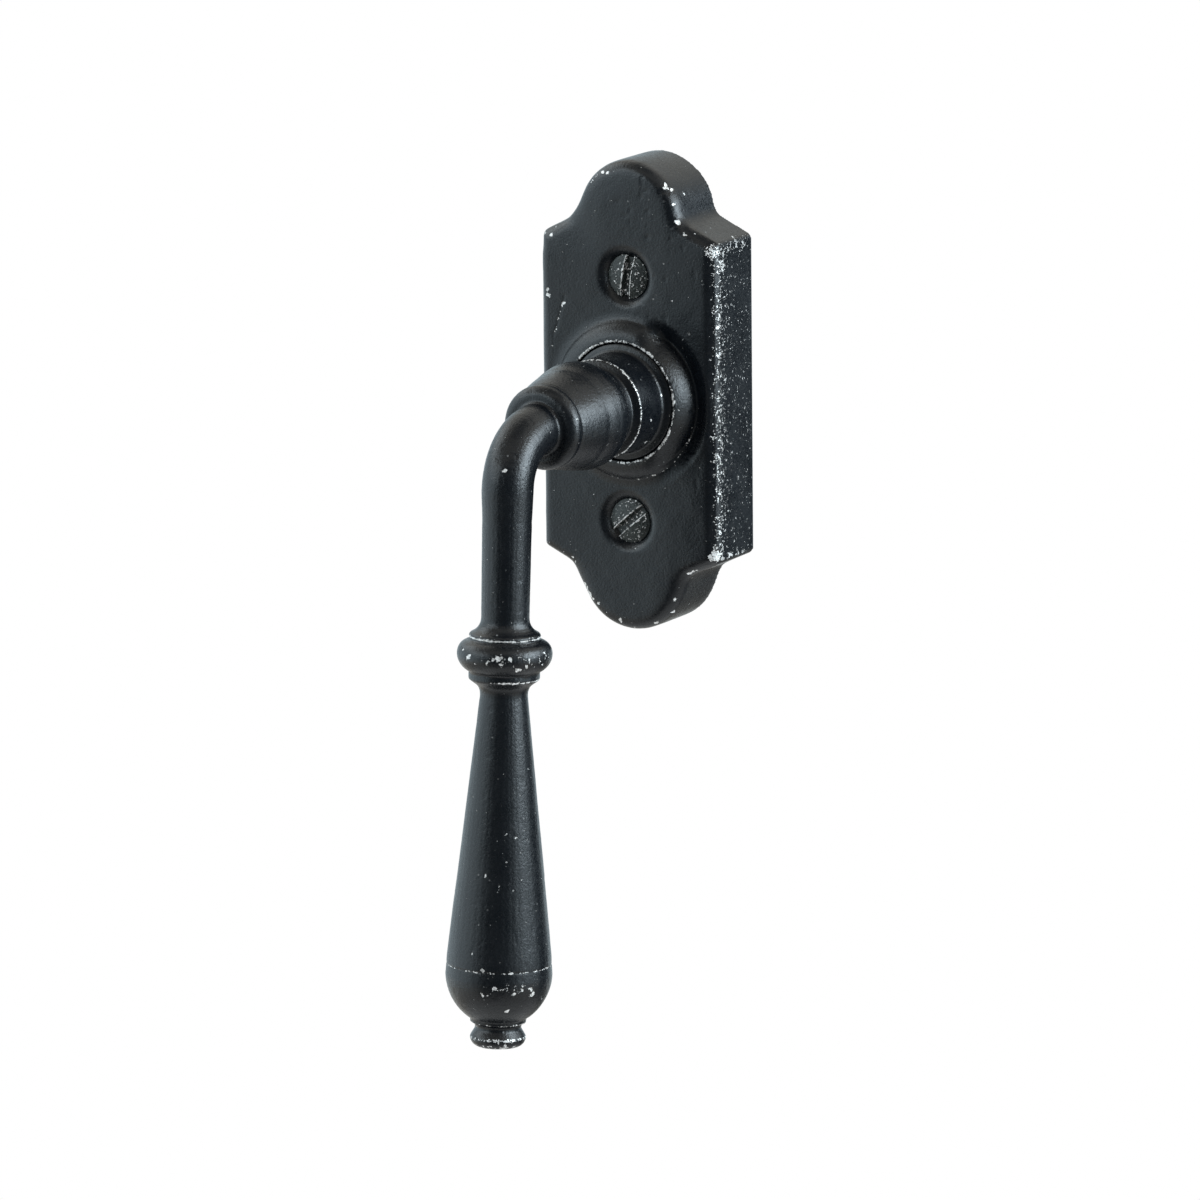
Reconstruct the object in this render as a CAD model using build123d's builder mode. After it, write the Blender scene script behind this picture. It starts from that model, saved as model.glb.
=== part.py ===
"""Forged window handle on an ogee rose, with its detent works.

Millimetres. The wall plane is Y = 0 and the handle stands out towards -Y.
+Z is up and X runs across the rose. The origin is on the spindle's axis in
the wall plane. The lever hangs down, which is the closed position.
Distances called a depth run from the wall plane out towards the room.
"""

import os
from math import cos, pi, radians, sin, sqrt, tan

from build123d import *

# Rose: the thick forged plate
rose_width = 35.0
rose_depth = 13.5
rose_half_height = 41.4
rose_rise = 0.4  # the outline sits this much high of the spindle
cap_radius = 10.2
cove_radius = 3.3
cove_out = 13.3  # cove's centre from the middle line
shoulder_fall = 25.0  # degrees that the shoulder drops towards the side
shoulder_round = 1.3
face_fall = 1.8  # how far the face rolls off towards its edge
face_roll = 2.4  # width of the roll
roll_power = 3  # how late the roll steepens
roll_sections = 4
rose_wall = 3.0  # forging left around the mounting plate

# Boss on the rose, round the neck
boss_radius = 13.9
boss_rim_radius = 10.7
boss_rise = 2.2
boss_bulge = 0.32
swell_radius = 15.8
swell_rise = 0.35

# Lever's foot and drum, turned round the spindle's axis
running_gap = 0.12
foot_radius = 10.25
foot_thickness = 2.7
foot_drop = 0.1  # foot's edge below the boss's rim
foot_arris = 0.2
drum_radius = 8.75
drum_cove = 0.75
drum_step = 0.2  # the cove starts this much proud of the foot
drum_length = 7.7
drum_arris = 0.2
shoulder_rise = 0.6
waist_radius = 7.35
waist_length = 1.4

# Bell between the waist and the bead
bell_flare = 1.7
bell_edge_radius = 8.5
bell_back = 2.3  # from its edge to its widest
bell_radius = 9.34
bell_band = 1.8
bell_break_radius = 9.17
bell_taper = 9.0
bell_swell = 0.16  # how far the taper bows out
bell_front_radius = 7.3
bell_groove = 0.4

# Bead roll at the neck's front
bead_radius = 7.35
bead_tube = 1.9
bead_back = 1.15  # from the bell's front to the bead's middle
rod_cove = 0.7

# Elbow and shank
lever_reach = 52.7  # lever's axis from the wall at the spindle's height
rake = 3.5  # degrees that the grip leans out from the wall
elbow_bend = 9.4
elbow_rod_radius = 4.38
shank_top_radius = 4.2
shank_settle = 5.0  # the elbow's rod thins to the shank over this length
shank_foot_radius = 4.1

# Turned ring between shank and grip; these lengths follow one another down the lever
shank_length = 30.4
flange_cove = 2.35
flange_radius = 6.1
flange_land = 0.55
flange_arris = 0.25
seam_length = 0.5
seam_radius = 5.95
ring_length = 5.6
ring_radius = 8.12
lower_flange_land = 1.0
lower_flange_radius = 6.08
lower_cove = 3.45
grip_neck_radius = 4.03

# Grip
grip_taper = 44.85
grip_full_radius = 8.93
grip_band = 1.4
score_radius = 9.0
score_depth = 0.18
score_half_width = 0.16
grip_swell = 1.8
grip_radius = 9.13
dome_length = 7.8
dome_middle_part = 0.61
dome_middle_radius = 7.7
lip_radius = 4.78
lip_land = 0.65
button_cove = 0.75
button_groove_radius = 3.95
button_root = 0.6
button_root_radius = 4.1
button_flare = 1.1
button_radius = 4.76
button_side = 1.1
button_shoulder_radius = 4.45
button_round = 0.55
button_end_radius = 3.75

# Spindle, its square and its grub screw
spindle_square = 7.0
square_clearance = 0.04
spindle_corner = 0.5
spindle_projection = 23.0
spindle_depth = 21.0  # how far it runs into the lever
spindle_point = 0.8
spindle_play = 0.3
grub_radius = 2.45
grub_clearance = 0.05
grub_sunk = 0.5
grub_depth = 19.8
grub_hex = 2.5
grub_hex_deep = 2.2

# Bearing in the rose
spigot_radius = 7.0
spigot_end = 6.4
spigot_chamfer = 0.3
bearing_clearance = 0.03
seat_clearance = 0.02
bush_flange = 0.8
bush_flange_radius = 10.2
bush_outer_radius = 8.4
washer_thickness = 0.3
washer_bore = 7.1
spring_height = 0.6
spring_sheet = 0.25
spring_washer_radius = 10.0
spring_washer_bore = 7.4
pocket_depth = 9.0
thrust_thickness = 0.8
thrust_radius = 9.6
clip_thickness = 1.0
clip_groove_radius = 6.2
clip_radius = 8.3
clip_play = 0.05
clip_gap = 50.0  # degrees
clip_ear_radius = 1.1
clip_ear_at = 8.2
clip_ear_hole = 0.5

# Detent works
works_margin = 3.2  # from the rose's side
works_half_height = 13.0
works_corner = 1.2
works_clearance = 0.2
clip_room_radius = 10.2
clip_room_depth = 6.6
cam_room_margin = 2.1  # from the screws' middles
cam_room_half_height = 10.4
cam_front = 6.3
cam_back = 2.9
cam_flat = 6.8  # centre to flat
cam_corner_radius = 8.6
cam_clearance = 0.02
leaf_thickness = 0.5
leaf_front = 6.2
leaf_back = 3.0
leaf_slot = 1.4
leaf_play = 0.05
cover_thickness = 0.8
cover_bore = 5.4

# Small screws of the works and of the mounting plate
works_screw_inset = 2.3
works_screw_rise = 2.0
works_screw_radius = 1.2
works_screw_depth = 11.0
works_head_radius = 2.0
small_hole_clearance = 0.05
small_slot_width = 0.5
small_slot_depth = 0.35
plate_screw_inset = 8.2  # from the end of the rose's outline
plate_screw_radius = 1.5
plate_screw_depth = 7.0
plate_head_radius = 2.8
plate_slot_width = 0.8
plate_slot_depth = 0.6

# Mounting plate and its locating lugs
plate_thickness = 2.0
plate_clearance = 0.1
plate_bore = 5.6
lug_spacing = 43.0
lug_radius = 5.0
lug_rivet_radius = 4.7  # where it passes through the mounting plate
lug_flange_radius = 6.0
lug_flange = 1.0
lug_length = 10.0
lug_bore = 2.7
lug_chamfer = 0.5

# Fixing screws
screw_shank_radius = 2.3
screw_thread_radius = 2.5
screw_thread_start = 10.4  # behind the wall plane, clear of the lugs
screw_end = 24.0
screw_point = 1.0
screw_head_radius = 4.0
screw_head_sunk = 1.1  # head's rim below the rose's face
screw_dome = 0.75
screw_slot_width = 1.25
screw_slot_depth = 1.2
upper_slot_angle = 81.0  # degrees from the X axis
lower_slot_angle = 40.0
head_clearance = 0.1
recess_spread = 1.8

# What follows from these
half_spacing = lug_spacing / 2
plate_screw_z = rose_half_height - plate_screw_inset
rim_depth = rose_depth + boss_rise
foot_front = rim_depth - foot_drop
foot_back = foot_front - foot_thickness
drum_front = foot_front + drum_length
waist_front = drum_front + shoulder_rise + waist_length
bell_edge = waist_front + bell_flare
bell_widest = bell_edge + bell_back
bell_break = bell_widest + bell_band
bell_front = bell_break + bell_taper
bead_middle = bell_front + bead_back
flange_back = shank_length + flange_cove
flange_front = flange_back + flange_land
ring_back = flange_front + seam_length
ring_front = ring_back + ring_length
lower_flange_front = ring_front + lower_flange_land
grip_neck = lower_flange_front + lower_cove
grip_full = grip_neck + grip_taper
score_line = grip_full + grip_band
grip_widest = score_line + grip_swell
lip_back = grip_widest + dome_length
lip_front = lip_back + lip_land
button_groove = lip_front + button_cove
button_widest = button_groove + button_root + button_flare
button_shoulder = button_widest + button_side
grip_end = button_shoulder + button_round
works_half_width = rose_width / 2 - works_margin
works_screw_x = works_half_width - works_screw_inset
works_screw_z = works_half_height - works_screw_rise
cam_room_half_width = works_screw_x - cam_room_margin
spring_front = foot_back - washer_thickness
bush_front = spring_front - spring_height
bush_seat = bush_front - bush_flange
clip_front = pocket_depth - thrust_thickness - clip_play
clip_back = clip_front - clip_thickness
works_back = plate_thickness + cover_thickness
head_rim = rose_depth - screw_head_sunk
turn = 90.0 - rake
elbow_tangent = elbow_bend * tan(radians(turn / 2))
elbow_start = lever_reach - elbow_tangent
lever_up = (0, sin(radians(rake)), cos(radians(rake)))
lever_axis = Axis((0, -lever_reach, 0), lever_up)
lever_plane = Plane(
    origin=(0, -lever_reach, 0),
    x_dir=(1, 0, 0),
    z_dir=(0, -cos(radians(rake)), sin(radians(rake))),
)


def at_depth(depth):
    """A sketch plane parallel to the wall, facing the room."""
    return Plane.XZ.offset(depth)


def on_circle(centre, radius, first, second):
    """The point of a circle that lies midway between two of its points."""
    toward_x = (first[0] + second[0]) / 2 - centre[0]
    toward_z = (first[1] + second[1]) / 2 - centre[1]
    scale = radius / sqrt(toward_x**2 + toward_z**2)
    return (centre[0] + toward_x * scale, centre[1] + toward_z * scale)


def rose_outline(inset):
    """The rose's ogee outline, drawn in by an inset."""
    cap = cap_radius - inset
    cove = cove_radius + inset
    reach = cap_radius + cove_radius
    cap_centre = (0, rose_half_height - cap_radius)
    cove_centre = (cove_out, cap_centre[1] + sqrt(reach**2 - cove_out**2))
    fall = radians(shoulder_fall)
    side = rose_width / 2 - inset
    top = (0, cap_centre[1] + cap)
    meet_z = cap_centre[1] + cap * (cove_centre[1] - cap_centre[1]) / reach
    meet = (cap * cove_out / reach, meet_z)
    low = (cove_out - cove * sin(fall), cove_centre[1] - cove * cos(fall))
    corner = (side, low[1] - (side - low[0]) * tan(fall))
    with BuildSketch() as outline:
        with BuildLine():
            ThreePointArc(top, on_circle(cap_centre, cap, top, meet), meet)
            ThreePointArc(meet, on_circle(cove_centre, cove, meet, low), low)
            Line(low, corner)
            Line(corner, (side, 0))
            mirror(about=Plane.YZ)
            mirror(about=Plane.XZ)
        make_face()
        corners = [v for v in outline.vertices() if abs(abs(v.X) - side) < 0.01 and abs(v.Y) > 1]
        fillet(corners, max(shoulder_round - inset, 0.4))
    return outline.sketch.moved(Location((0, rose_rise)))


def boss_profile():
    """Half section of the swell and the cone that rise from the rose's face."""
    swell_top = (boss_radius, -rose_depth - swell_rise)
    rim = (boss_rim_radius, -rim_depth)
    middle_x = (swell_top[0] + rim[0]) / 2 + boss_bulge
    middle_y = (swell_top[1] + rim[1]) / 2 - boss_bulge
    with BuildLine() as profile:
        TangentArc((swell_radius, -rose_depth), swell_top, tangent=(-1, 0))
        ThreePointArc(swell_top, (middle_x, middle_y), rim)
        Polyline(
            rim,
            (0, -rim_depth),
            (0, -rose_depth + face_fall),
            (swell_radius, -rose_depth + face_fall),
            (swell_radius, -rose_depth),
        )
    return profile.line


def screw_seat_profile():
    """Half section of a fixing screw's seat with its softened mouth."""
    wall = screw_head_radius + head_clearance
    wall_foot = -(head_rim + head_clearance - seat_clearance)
    mouth = wall + recess_spread
    with BuildLine() as profile:
        TangentArc((mouth, -rose_depth), (wall, wall_foot), tangent=(-1, 0))
        Polyline(
            (wall, wall_foot),
            (lug_bore, wall_foot + wall - lug_bore),
            (0, wall_foot + wall - lug_bore),
            (0, -rose_depth - 1),
            (mouth, -rose_depth - 1),
            (mouth, -rose_depth),
        )
    return profile.line


# Rose
with BuildPart() as rose:
    with BuildSketch(Plane.XZ):
        add(rose_outline(0))
    extrude(amount=rose_depth - face_fall)
    # The face rolls off towards a crisp edge
    for section in range(roll_sections + 1):
        share = section / roll_sections
        with BuildSketch(at_depth(rose_depth - face_fall * (1 - share) ** roll_power)):
            add(rose_outline(face_roll * share))
    loft()
    with BuildSketch(Plane.XY):
        with BuildLine():
            add(boss_profile())
        make_face()
    revolve(axis=Axis.Y)
    # Room for the lever's foot, then the bush's bore
    with BuildSketch(at_depth(bush_seat)):
        Circle(foot_radius + running_gap)
    extrude(amount=rose_depth, mode=Mode.SUBTRACT)
    with BuildSketch(at_depth(0)):
        Circle(bush_outer_radius + seat_clearance)
    extrude(amount=rose_depth, mode=Mode.SUBTRACT)
    # Recess for the mounting plate and the deeper pocket for the works
    with BuildSketch(at_depth(0)):
        add(rose_outline(rose_wall))
    extrude(amount=plate_thickness, mode=Mode.SUBTRACT)
    with BuildSketch(at_depth(0)):
        RectangleRounded(
            2 * (works_half_width + works_clearance),
            2 * (works_half_height + works_clearance),
            works_corner + works_clearance,
        )
    extrude(amount=pocket_depth, mode=Mode.SUBTRACT)
    # Holes for the fixing screws and seats for the lugs' flanges
    with BuildSketch(at_depth(0)):
        with Locations((0, half_spacing), (0, -half_spacing)):
            Circle(lug_bore)
    extrude(amount=rose_depth, mode=Mode.SUBTRACT)
    with BuildSketch(at_depth(0)):
        with Locations((0, half_spacing), (0, -half_spacing)):
            Circle(lug_flange_radius + plate_clearance)
    extrude(amount=plate_thickness + lug_flange + seat_clearance, mode=Mode.SUBTRACT)
    for screw_z in (half_spacing, -half_spacing):
        with BuildSketch(Plane.XY.offset(screw_z)):
            with BuildLine():
                add(screw_seat_profile())
            make_face()
        revolve(axis=Axis((0, 0, screw_z), (0, 1, 0)), mode=Mode.SUBTRACT)
    # Blind holes for the small screws
    with BuildSketch(at_depth(0)):
        with GridLocations(2 * works_screw_x, 2 * works_screw_z, 2, 2):
            Circle(works_screw_radius + small_hole_clearance)
    extrude(amount=works_screw_depth + small_hole_clearance, mode=Mode.SUBTRACT)
    with BuildSketch(at_depth(0)):
        with Locations((0, plate_screw_z), (0, -plate_screw_z)):
            Circle(plate_screw_radius + small_hole_clearance)
    extrude(amount=plate_screw_depth + small_hole_clearance, mode=Mode.SUBTRACT)
rose.part.label = "rose"


def neck_profile():
    """Half section of the lever's spigot, foot, drum, bell and bead."""
    groove_back = -clip_back + seat_clearance
    groove_front = -clip_front - seat_clearance
    bead_core = bead_radius - bead_tube
    groove_radius = bell_front_radius - bell_groove
    groove_rise = sqrt(bead_tube**2 - (groove_radius - bead_core) ** 2)
    bead_foot = (groove_radius, -bead_middle + groove_rise)
    bead_crest = (bead_core + bead_tube * 0.98, -bead_middle - bead_tube * 0.2)
    bead_face = (bead_core, -bead_middle - bead_tube)
    cove_start = (elbow_rod_radius + rod_cove, -elbow_start + rod_cove)
    cove_middle = (
        elbow_rod_radius + rod_cove * (1 - cos(pi / 4)),
        -elbow_start + rod_cove * sin(pi / 4),
    )
    drum_foot = foot_front + drum_step
    with BuildLine() as profile:
        Polyline(
            (0, -spigot_end),
            (spigot_radius - spigot_chamfer, -spigot_end),
            (spigot_radius, -spigot_end - spigot_chamfer),
            (spigot_radius, groove_back),
            (clip_groove_radius, groove_back),
            (clip_groove_radius, groove_front),
            (spigot_radius, groove_front),
            (spigot_radius, -foot_back),
            (foot_radius, -foot_back),
            (foot_radius, -foot_front + foot_arris),
            (foot_radius - foot_arris, -foot_front),
            (drum_radius + drum_cove, -drum_foot),
        )
        RadiusArc(
            (drum_radius + drum_cove, -drum_foot),
            (drum_radius, -drum_foot - drum_cove),
            -drum_cove,
        )
        Polyline(
            (drum_radius, -drum_foot - drum_cove),
            (drum_radius, -drum_front + drum_arris),
            (drum_radius - drum_arris, -drum_front),
            (waist_radius, -drum_front - shoulder_rise),
            (waist_radius, -waist_front),
            (bell_edge_radius, -bell_edge),
        )
        ThreePointArc(
            (bell_edge_radius, -bell_edge),
            (bell_radius, -bell_widest),
            (bell_break_radius, -bell_break),
        )
        ThreePointArc(
            (bell_break_radius, -bell_break),
            (
                (bell_break_radius + bell_front_radius) / 2 + bell_swell,
                -(bell_break + bell_front) / 2,
            ),
            (bell_front_radius, -bell_front),
        )
        Line((bell_front_radius, -bell_front), bead_foot)
        ThreePointArc(bead_foot, bead_crest, bead_face)
        Line(bead_face, cove_start)
        ThreePointArc(cove_start, cove_middle, (elbow_rod_radius, -elbow_start))
        Polyline((elbow_rod_radius, -elbow_start), (0, -elbow_start), (0, -spigot_end))
    return profile.line


def shank_profile():
    """Half section of the shank and the turned ring, down the lever's axis."""
    settled = elbow_tangent + shank_settle
    with BuildLine() as profile:
        Polyline(
            (0, -elbow_tangent),
            (elbow_rod_radius, -elbow_tangent),
            (shank_top_radius, -settled),
            (shank_foot_radius, -shank_length),
        )
        Spline(
            (shank_foot_radius, -shank_length),
            (flange_radius - flange_arris, -flange_back),
            tangents=((0, -1), (1, -0.3)),
        )
        Polyline(
            (flange_radius - flange_arris, -flange_back),
            (flange_radius, -flange_back - flange_arris),
            (flange_radius, -flange_front),
            (seam_radius, -ring_back),
        )
        ThreePointArc(
            (seam_radius, -ring_back),
            (ring_radius, -(ring_back + ring_front) / 2),
            (seam_radius, -ring_front),
        )
        Polyline(
            (seam_radius, -ring_front),
            (lower_flange_radius, -ring_front - flange_arris),
            (lower_flange_radius, -lower_flange_front),
        )
        Spline(
            (lower_flange_radius, -lower_flange_front),
            (grip_neck_radius, -grip_neck),
            tangents=((-1, -0.75), (0, -1)),
        )
        Polyline((grip_neck_radius, -grip_neck), (0, -grip_neck), (0, -elbow_tangent))
    return profile.line


def grip_profile():
    """Half section of the grip, its domed end and the button on it."""
    with BuildLine() as profile:
        Polyline(
            (0, -grip_neck),
            (grip_neck_radius, -grip_neck),
            (grip_full_radius, -grip_full),
            (score_radius, -score_line + score_half_width),
            (score_radius - score_depth, -score_line),
            (score_radius, -score_line - score_half_width),
            (grip_radius, -grip_widest),
        )
        ThreePointArc(
            (grip_radius, -grip_widest),
            (dome_middle_radius, -grip_widest - dome_middle_part * dome_length),
            (lip_radius, -lip_back),
        )
        Line((lip_radius, -lip_back), (lip_radius, -lip_front))
        ThreePointArc(
            (lip_radius, -lip_front),
            (button_groove_radius, -button_groove),
            (button_root_radius, -button_groove - button_root),
        )
        Line(
            (button_root_radius, -button_groove - button_root),
            (button_radius, -button_widest),
        )
        ThreePointArc(
            (button_radius, -button_widest),
            (button_shoulder_radius, -button_shoulder),
            (button_end_radius, -grip_end),
        )
        Polyline((button_end_radius, -grip_end), (0, -grip_end), (0, -grip_neck))
    return profile.line


# Lever, one forging from the spigot to the button
with BuildPart() as lever:
    with BuildSketch(Plane.XY):
        with BuildLine():
            add(neck_profile())
        make_face()
    revolve(axis=Axis.Y)
    with BuildLine(Plane.YZ):
        JernArc(start=(-elbow_start, 0), tangent=(-1, 0), radius=elbow_bend, arc_size=turn)
    with BuildSketch(at_depth(elbow_start)):
        Circle(elbow_rod_radius)
    sweep()
    with BuildSketch(lever_plane):
        with BuildLine():
            add(shank_profile())
        make_face()
    revolve(axis=lever_axis)
    with BuildSketch(lever_plane):
        with BuildLine():
            add(grip_profile())
        make_face()
    revolve(axis=lever_axis)
    # Square hole for the spindle and the tapped hole under the drum
    with BuildSketch(at_depth(0)):
        square_hole = spindle_square + 2 * square_clearance
        Rectangle(square_hole, square_hole)
    extrude(amount=spindle_depth + spindle_play, mode=Mode.SUBTRACT)
    with BuildSketch(Plane.XY.offset(-foot_radius)):
        with Locations((0, -grub_depth)):
            Circle(grub_radius + grub_clearance)
    extrude(amount=foot_radius, mode=Mode.SUBTRACT)
lever.part.label = "lever"

# Square spindle, fixed in the lever
with BuildPart() as spindle:
    with BuildSketch(at_depth(-spindle_projection)) as square:
        Rectangle(spindle_square, spindle_square)
        chamfer(square.vertices(), spindle_corner)
    extrude(amount=spindle_projection + spindle_depth)
    ends = spindle.faces().sort_by(Axis.Y)
    chamfer(ends[-1].edges() + ends[0].edges(), spindle_point)
spindle.part.label = "spindle"

# Grub screw that locks the spindle
with BuildPart() as grub_screw:
    grub_length = drum_radius - grub_sunk - spindle_square / 2
    with BuildSketch(Plane.XY.offset(-drum_radius + grub_sunk)):
        with Locations((0, -grub_depth)):
            Circle(grub_radius)
    extrude(amount=grub_length)
    chamfer(grub_screw.faces().sort_by(Axis.Z)[-1].edges(), grub_sunk)
    with BuildSketch(Plane.XY.offset(-drum_radius + grub_sunk)):
        with Locations((0, -grub_depth)):
            RegularPolygon(grub_hex / 2, 6, major_radius=False)
    extrude(amount=grub_hex_deep, mode=Mode.SUBTRACT)
grub_screw.part.label = "grub_screw"

# Flanged bush pressed into the rose
with BuildPart() as neck_bush:
    with BuildSketch(at_depth(bush_seat)):
        Circle(bush_flange_radius)
        Circle(spigot_radius + bearing_clearance, mode=Mode.SUBTRACT)
    extrude(amount=bush_flange)
    with BuildSketch(at_depth(pocket_depth)):
        Circle(bush_outer_radius)
        Circle(spigot_radius + bearing_clearance, mode=Mode.SUBTRACT)
    extrude(amount=bush_seat - pocket_depth)
neck_bush.part.label = "neck_bush"

# Flat washer under the lever's foot
with BuildPart() as friction_washer:
    with BuildSketch(at_depth(spring_front)):
        Circle(bush_flange_radius)
        Circle(washer_bore, mode=Mode.SUBTRACT)
    extrude(amount=washer_thickness)
friction_washer.part.label = "friction_washer"

# Bowed spring washer that keeps the lever from rattling
with BuildPart() as spring_washer:
    bow = spring_height - spring_sheet
    edge = spring_washer_radius
    with BuildSketch(Plane.YZ):
        with BuildLine():
            ThreePointArc((-bush_front, -edge), (-bush_front - bow, 0), (-bush_front, edge))
            Line((-bush_front, edge), (-bush_front - spring_sheet, edge))
            ThreePointArc(
                (-bush_front - spring_sheet, edge),
                (-spring_front, 0),
                (-bush_front - spring_sheet, -edge),
            )
            Line((-bush_front - spring_sheet, -edge), (-bush_front, -edge))
        make_face()
    extrude(amount=edge, both=True)
    with BuildSketch(at_depth(bush_front)):
        Circle(spring_washer_radius)
        Circle(spring_washer_bore, mode=Mode.SUBTRACT)
    extrude(amount=spring_height, mode=Mode.INTERSECT)
spring_washer.part.label = "spring_washer"

# Thrust washer in front of the clip
with BuildPart() as thrust_washer:
    with BuildSketch(at_depth(pocket_depth - thrust_thickness)):
        Circle(thrust_radius)
        Circle(washer_bore, mode=Mode.SUBTRACT)
    extrude(amount=thrust_thickness)
thrust_washer.part.label = "thrust_washer"

# Retaining clip on the lever's spigot
with BuildPart() as retaining_clip:
    with BuildSketch(at_depth(clip_back)) as clip:
        Circle(clip_radius)
        half_gap = radians(clip_gap / 2)
        ear_reach = clip_ear_at
        with Locations(
            (ear_reach * sin(half_gap), -ear_reach * cos(half_gap)),
            (-ear_reach * sin(half_gap), -ear_reach * cos(half_gap)),
        ):
            Circle(clip_ear_radius)
        Circle(clip_groove_radius + seat_clearance, mode=Mode.SUBTRACT)
        gap_foot = clip_radius + clip_ear_radius
        gap_half_width = gap_foot * tan(half_gap) - clip_ear_radius
        with BuildLine():
            Polyline(
                (0, 0),
                (gap_half_width, -gap_foot),
                (-gap_half_width, -gap_foot),
                close=True,
            )
        make_face(mode=Mode.SUBTRACT)
        with Locations(
            (ear_reach * sin(half_gap), -ear_reach * cos(half_gap)),
            (-ear_reach * sin(half_gap), -ear_reach * cos(half_gap)),
        ):
            Circle(clip_ear_hole, mode=Mode.SUBTRACT)
    extrude(amount=clip_thickness)
retaining_clip.part.label = "retaining_clip"

# Housing of the detent works
with BuildPart() as detent_housing:
    with BuildSketch(at_depth(works_back)):
        RectangleRounded(2 * works_half_width, 2 * works_half_height, works_corner)
    extrude(amount=pocket_depth - works_back)
    with BuildSketch(at_depth(clip_room_depth)):
        Circle(clip_room_radius)
    extrude(amount=pocket_depth, mode=Mode.SUBTRACT)
    with BuildSketch(at_depth(works_back)):
        Rectangle(2 * cam_room_half_width, 2 * cam_room_half_height)
        with Locations(
            (cam_flat + leaf_thickness / 2, 0),
            (-cam_flat - leaf_thickness / 2, 0),
        ):
            Rectangle(
                leaf_thickness + 2 * leaf_play,
                2 * (cam_room_half_height + leaf_slot),
            )
    extrude(amount=clip_room_depth - works_back, mode=Mode.SUBTRACT)
    with BuildSketch(at_depth(works_back)):
        with GridLocations(2 * works_screw_x, 2 * works_screw_z, 2, 2):
            Circle(works_screw_radius + small_hole_clearance)
    extrude(amount=pocket_depth, mode=Mode.SUBTRACT)
detent_housing.part.label = "detent_housing"

# Square cam on the spindle
with BuildPart() as detent_cam:
    with BuildSketch(at_depth(cam_back)):
        Rectangle(2 * cam_flat, 2 * cam_flat)
        Circle(cam_corner_radius, mode=Mode.INTERSECT)
        square_hole = spindle_square + 2 * square_clearance
        Rectangle(square_hole, square_hole, mode=Mode.SUBTRACT)
    extrude(amount=cam_front - cam_back)
detent_cam.part.label = "detent_cam"

# Leaf springs that press on the cam's sides
leaf_centre = cam_flat + cam_clearance + leaf_thickness / 2
leaf_length = 2 * (cam_room_half_height + leaf_slot - leaf_play)
with BuildPart() as right_detent_spring:
    with BuildSketch(at_depth(leaf_back)):
        with Locations((leaf_centre, 0)):
            Rectangle(leaf_thickness, leaf_length)
    extrude(amount=leaf_front - leaf_back)
right_detent_spring.part.label = "right_detent_spring"

with BuildPart() as left_detent_spring:
    with BuildSketch(at_depth(leaf_back)):
        with Locations((-leaf_centre, 0)):
            Rectangle(leaf_thickness, leaf_length)
    extrude(amount=leaf_front - leaf_back)
left_detent_spring.part.label = "left_detent_spring"

# Cover that closes the works
with BuildPart() as detent_cover:
    with BuildSketch(at_depth(plate_thickness)):
        RectangleRounded(2 * works_half_width, 2 * works_half_height, works_corner)
        Circle(cover_bore, mode=Mode.SUBTRACT)
    extrude(amount=cover_thickness)
    sink = works_head_radius - works_screw_radius
    with Locations(at_depth(plate_thickness)):
        with GridLocations(2 * works_screw_x, 2 * works_screw_z, 2, 2):
            Cone(
                works_head_radius + small_hole_clearance,
                works_screw_radius + small_hole_clearance,
                sink,
                align=(Align.CENTER, Align.CENTER, Align.MIN),
                mode=Mode.SUBTRACT,
            )
detent_cover.part.label = "detent_cover"

# Four countersunk screws that hold the works
with BuildPart() as works_screws:
    with BuildSketch(at_depth(plate_thickness)):
        with GridLocations(2 * works_screw_x, 2 * works_screw_z, 2, 2):
            Circle(works_screw_radius)
    extrude(amount=works_screw_depth - plate_thickness)
    with Locations(at_depth(plate_thickness)):
        with GridLocations(2 * works_screw_x, 2 * works_screw_z, 2, 2):
            Cone(
                works_head_radius,
                works_screw_radius,
                works_head_radius - works_screw_radius,
                align=(Align.CENTER, Align.CENTER, Align.MIN),
            )
            Box(
                2 * works_head_radius,
                small_slot_width,
                2 * small_slot_depth,
                mode=Mode.SUBTRACT,
            )
works_screws.part.label = "works_screws"

# Mounting plate that lies on the window frame
with BuildPart() as mounting_plate:
    with BuildSketch(at_depth(0)):
        add(rose_outline(rose_wall + plate_clearance))
        Circle(plate_bore, mode=Mode.SUBTRACT)
        with Locations((0, half_spacing), (0, -half_spacing)):
            Circle(lug_rivet_radius + seat_clearance, mode=Mode.SUBTRACT)
    extrude(amount=plate_thickness)
    with Locations(at_depth(0)):
        with Locations((0, half_spacing), (0, -half_spacing)):
            Cone(
                lug_radius + seat_clearance,
                lug_rivet_radius + seat_clearance,
                lug_radius - lug_rivet_radius,
                align=(Align.CENTER, Align.CENTER, Align.MIN),
                mode=Mode.SUBTRACT,
            )
        with Locations((0, plate_screw_z), (0, -plate_screw_z)):
            Cylinder(
                plate_screw_radius + small_hole_clearance,
                plate_thickness,
                align=(Align.CENTER, Align.CENTER, Align.MIN),
                mode=Mode.SUBTRACT,
            )
            Cone(
                plate_head_radius + small_hole_clearance,
                plate_screw_radius + small_hole_clearance,
                plate_head_radius - plate_screw_radius,
                align=(Align.CENTER, Align.CENTER, Align.MIN),
                mode=Mode.SUBTRACT,
            )
mounting_plate.part.label = "mounting_plate"

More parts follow.
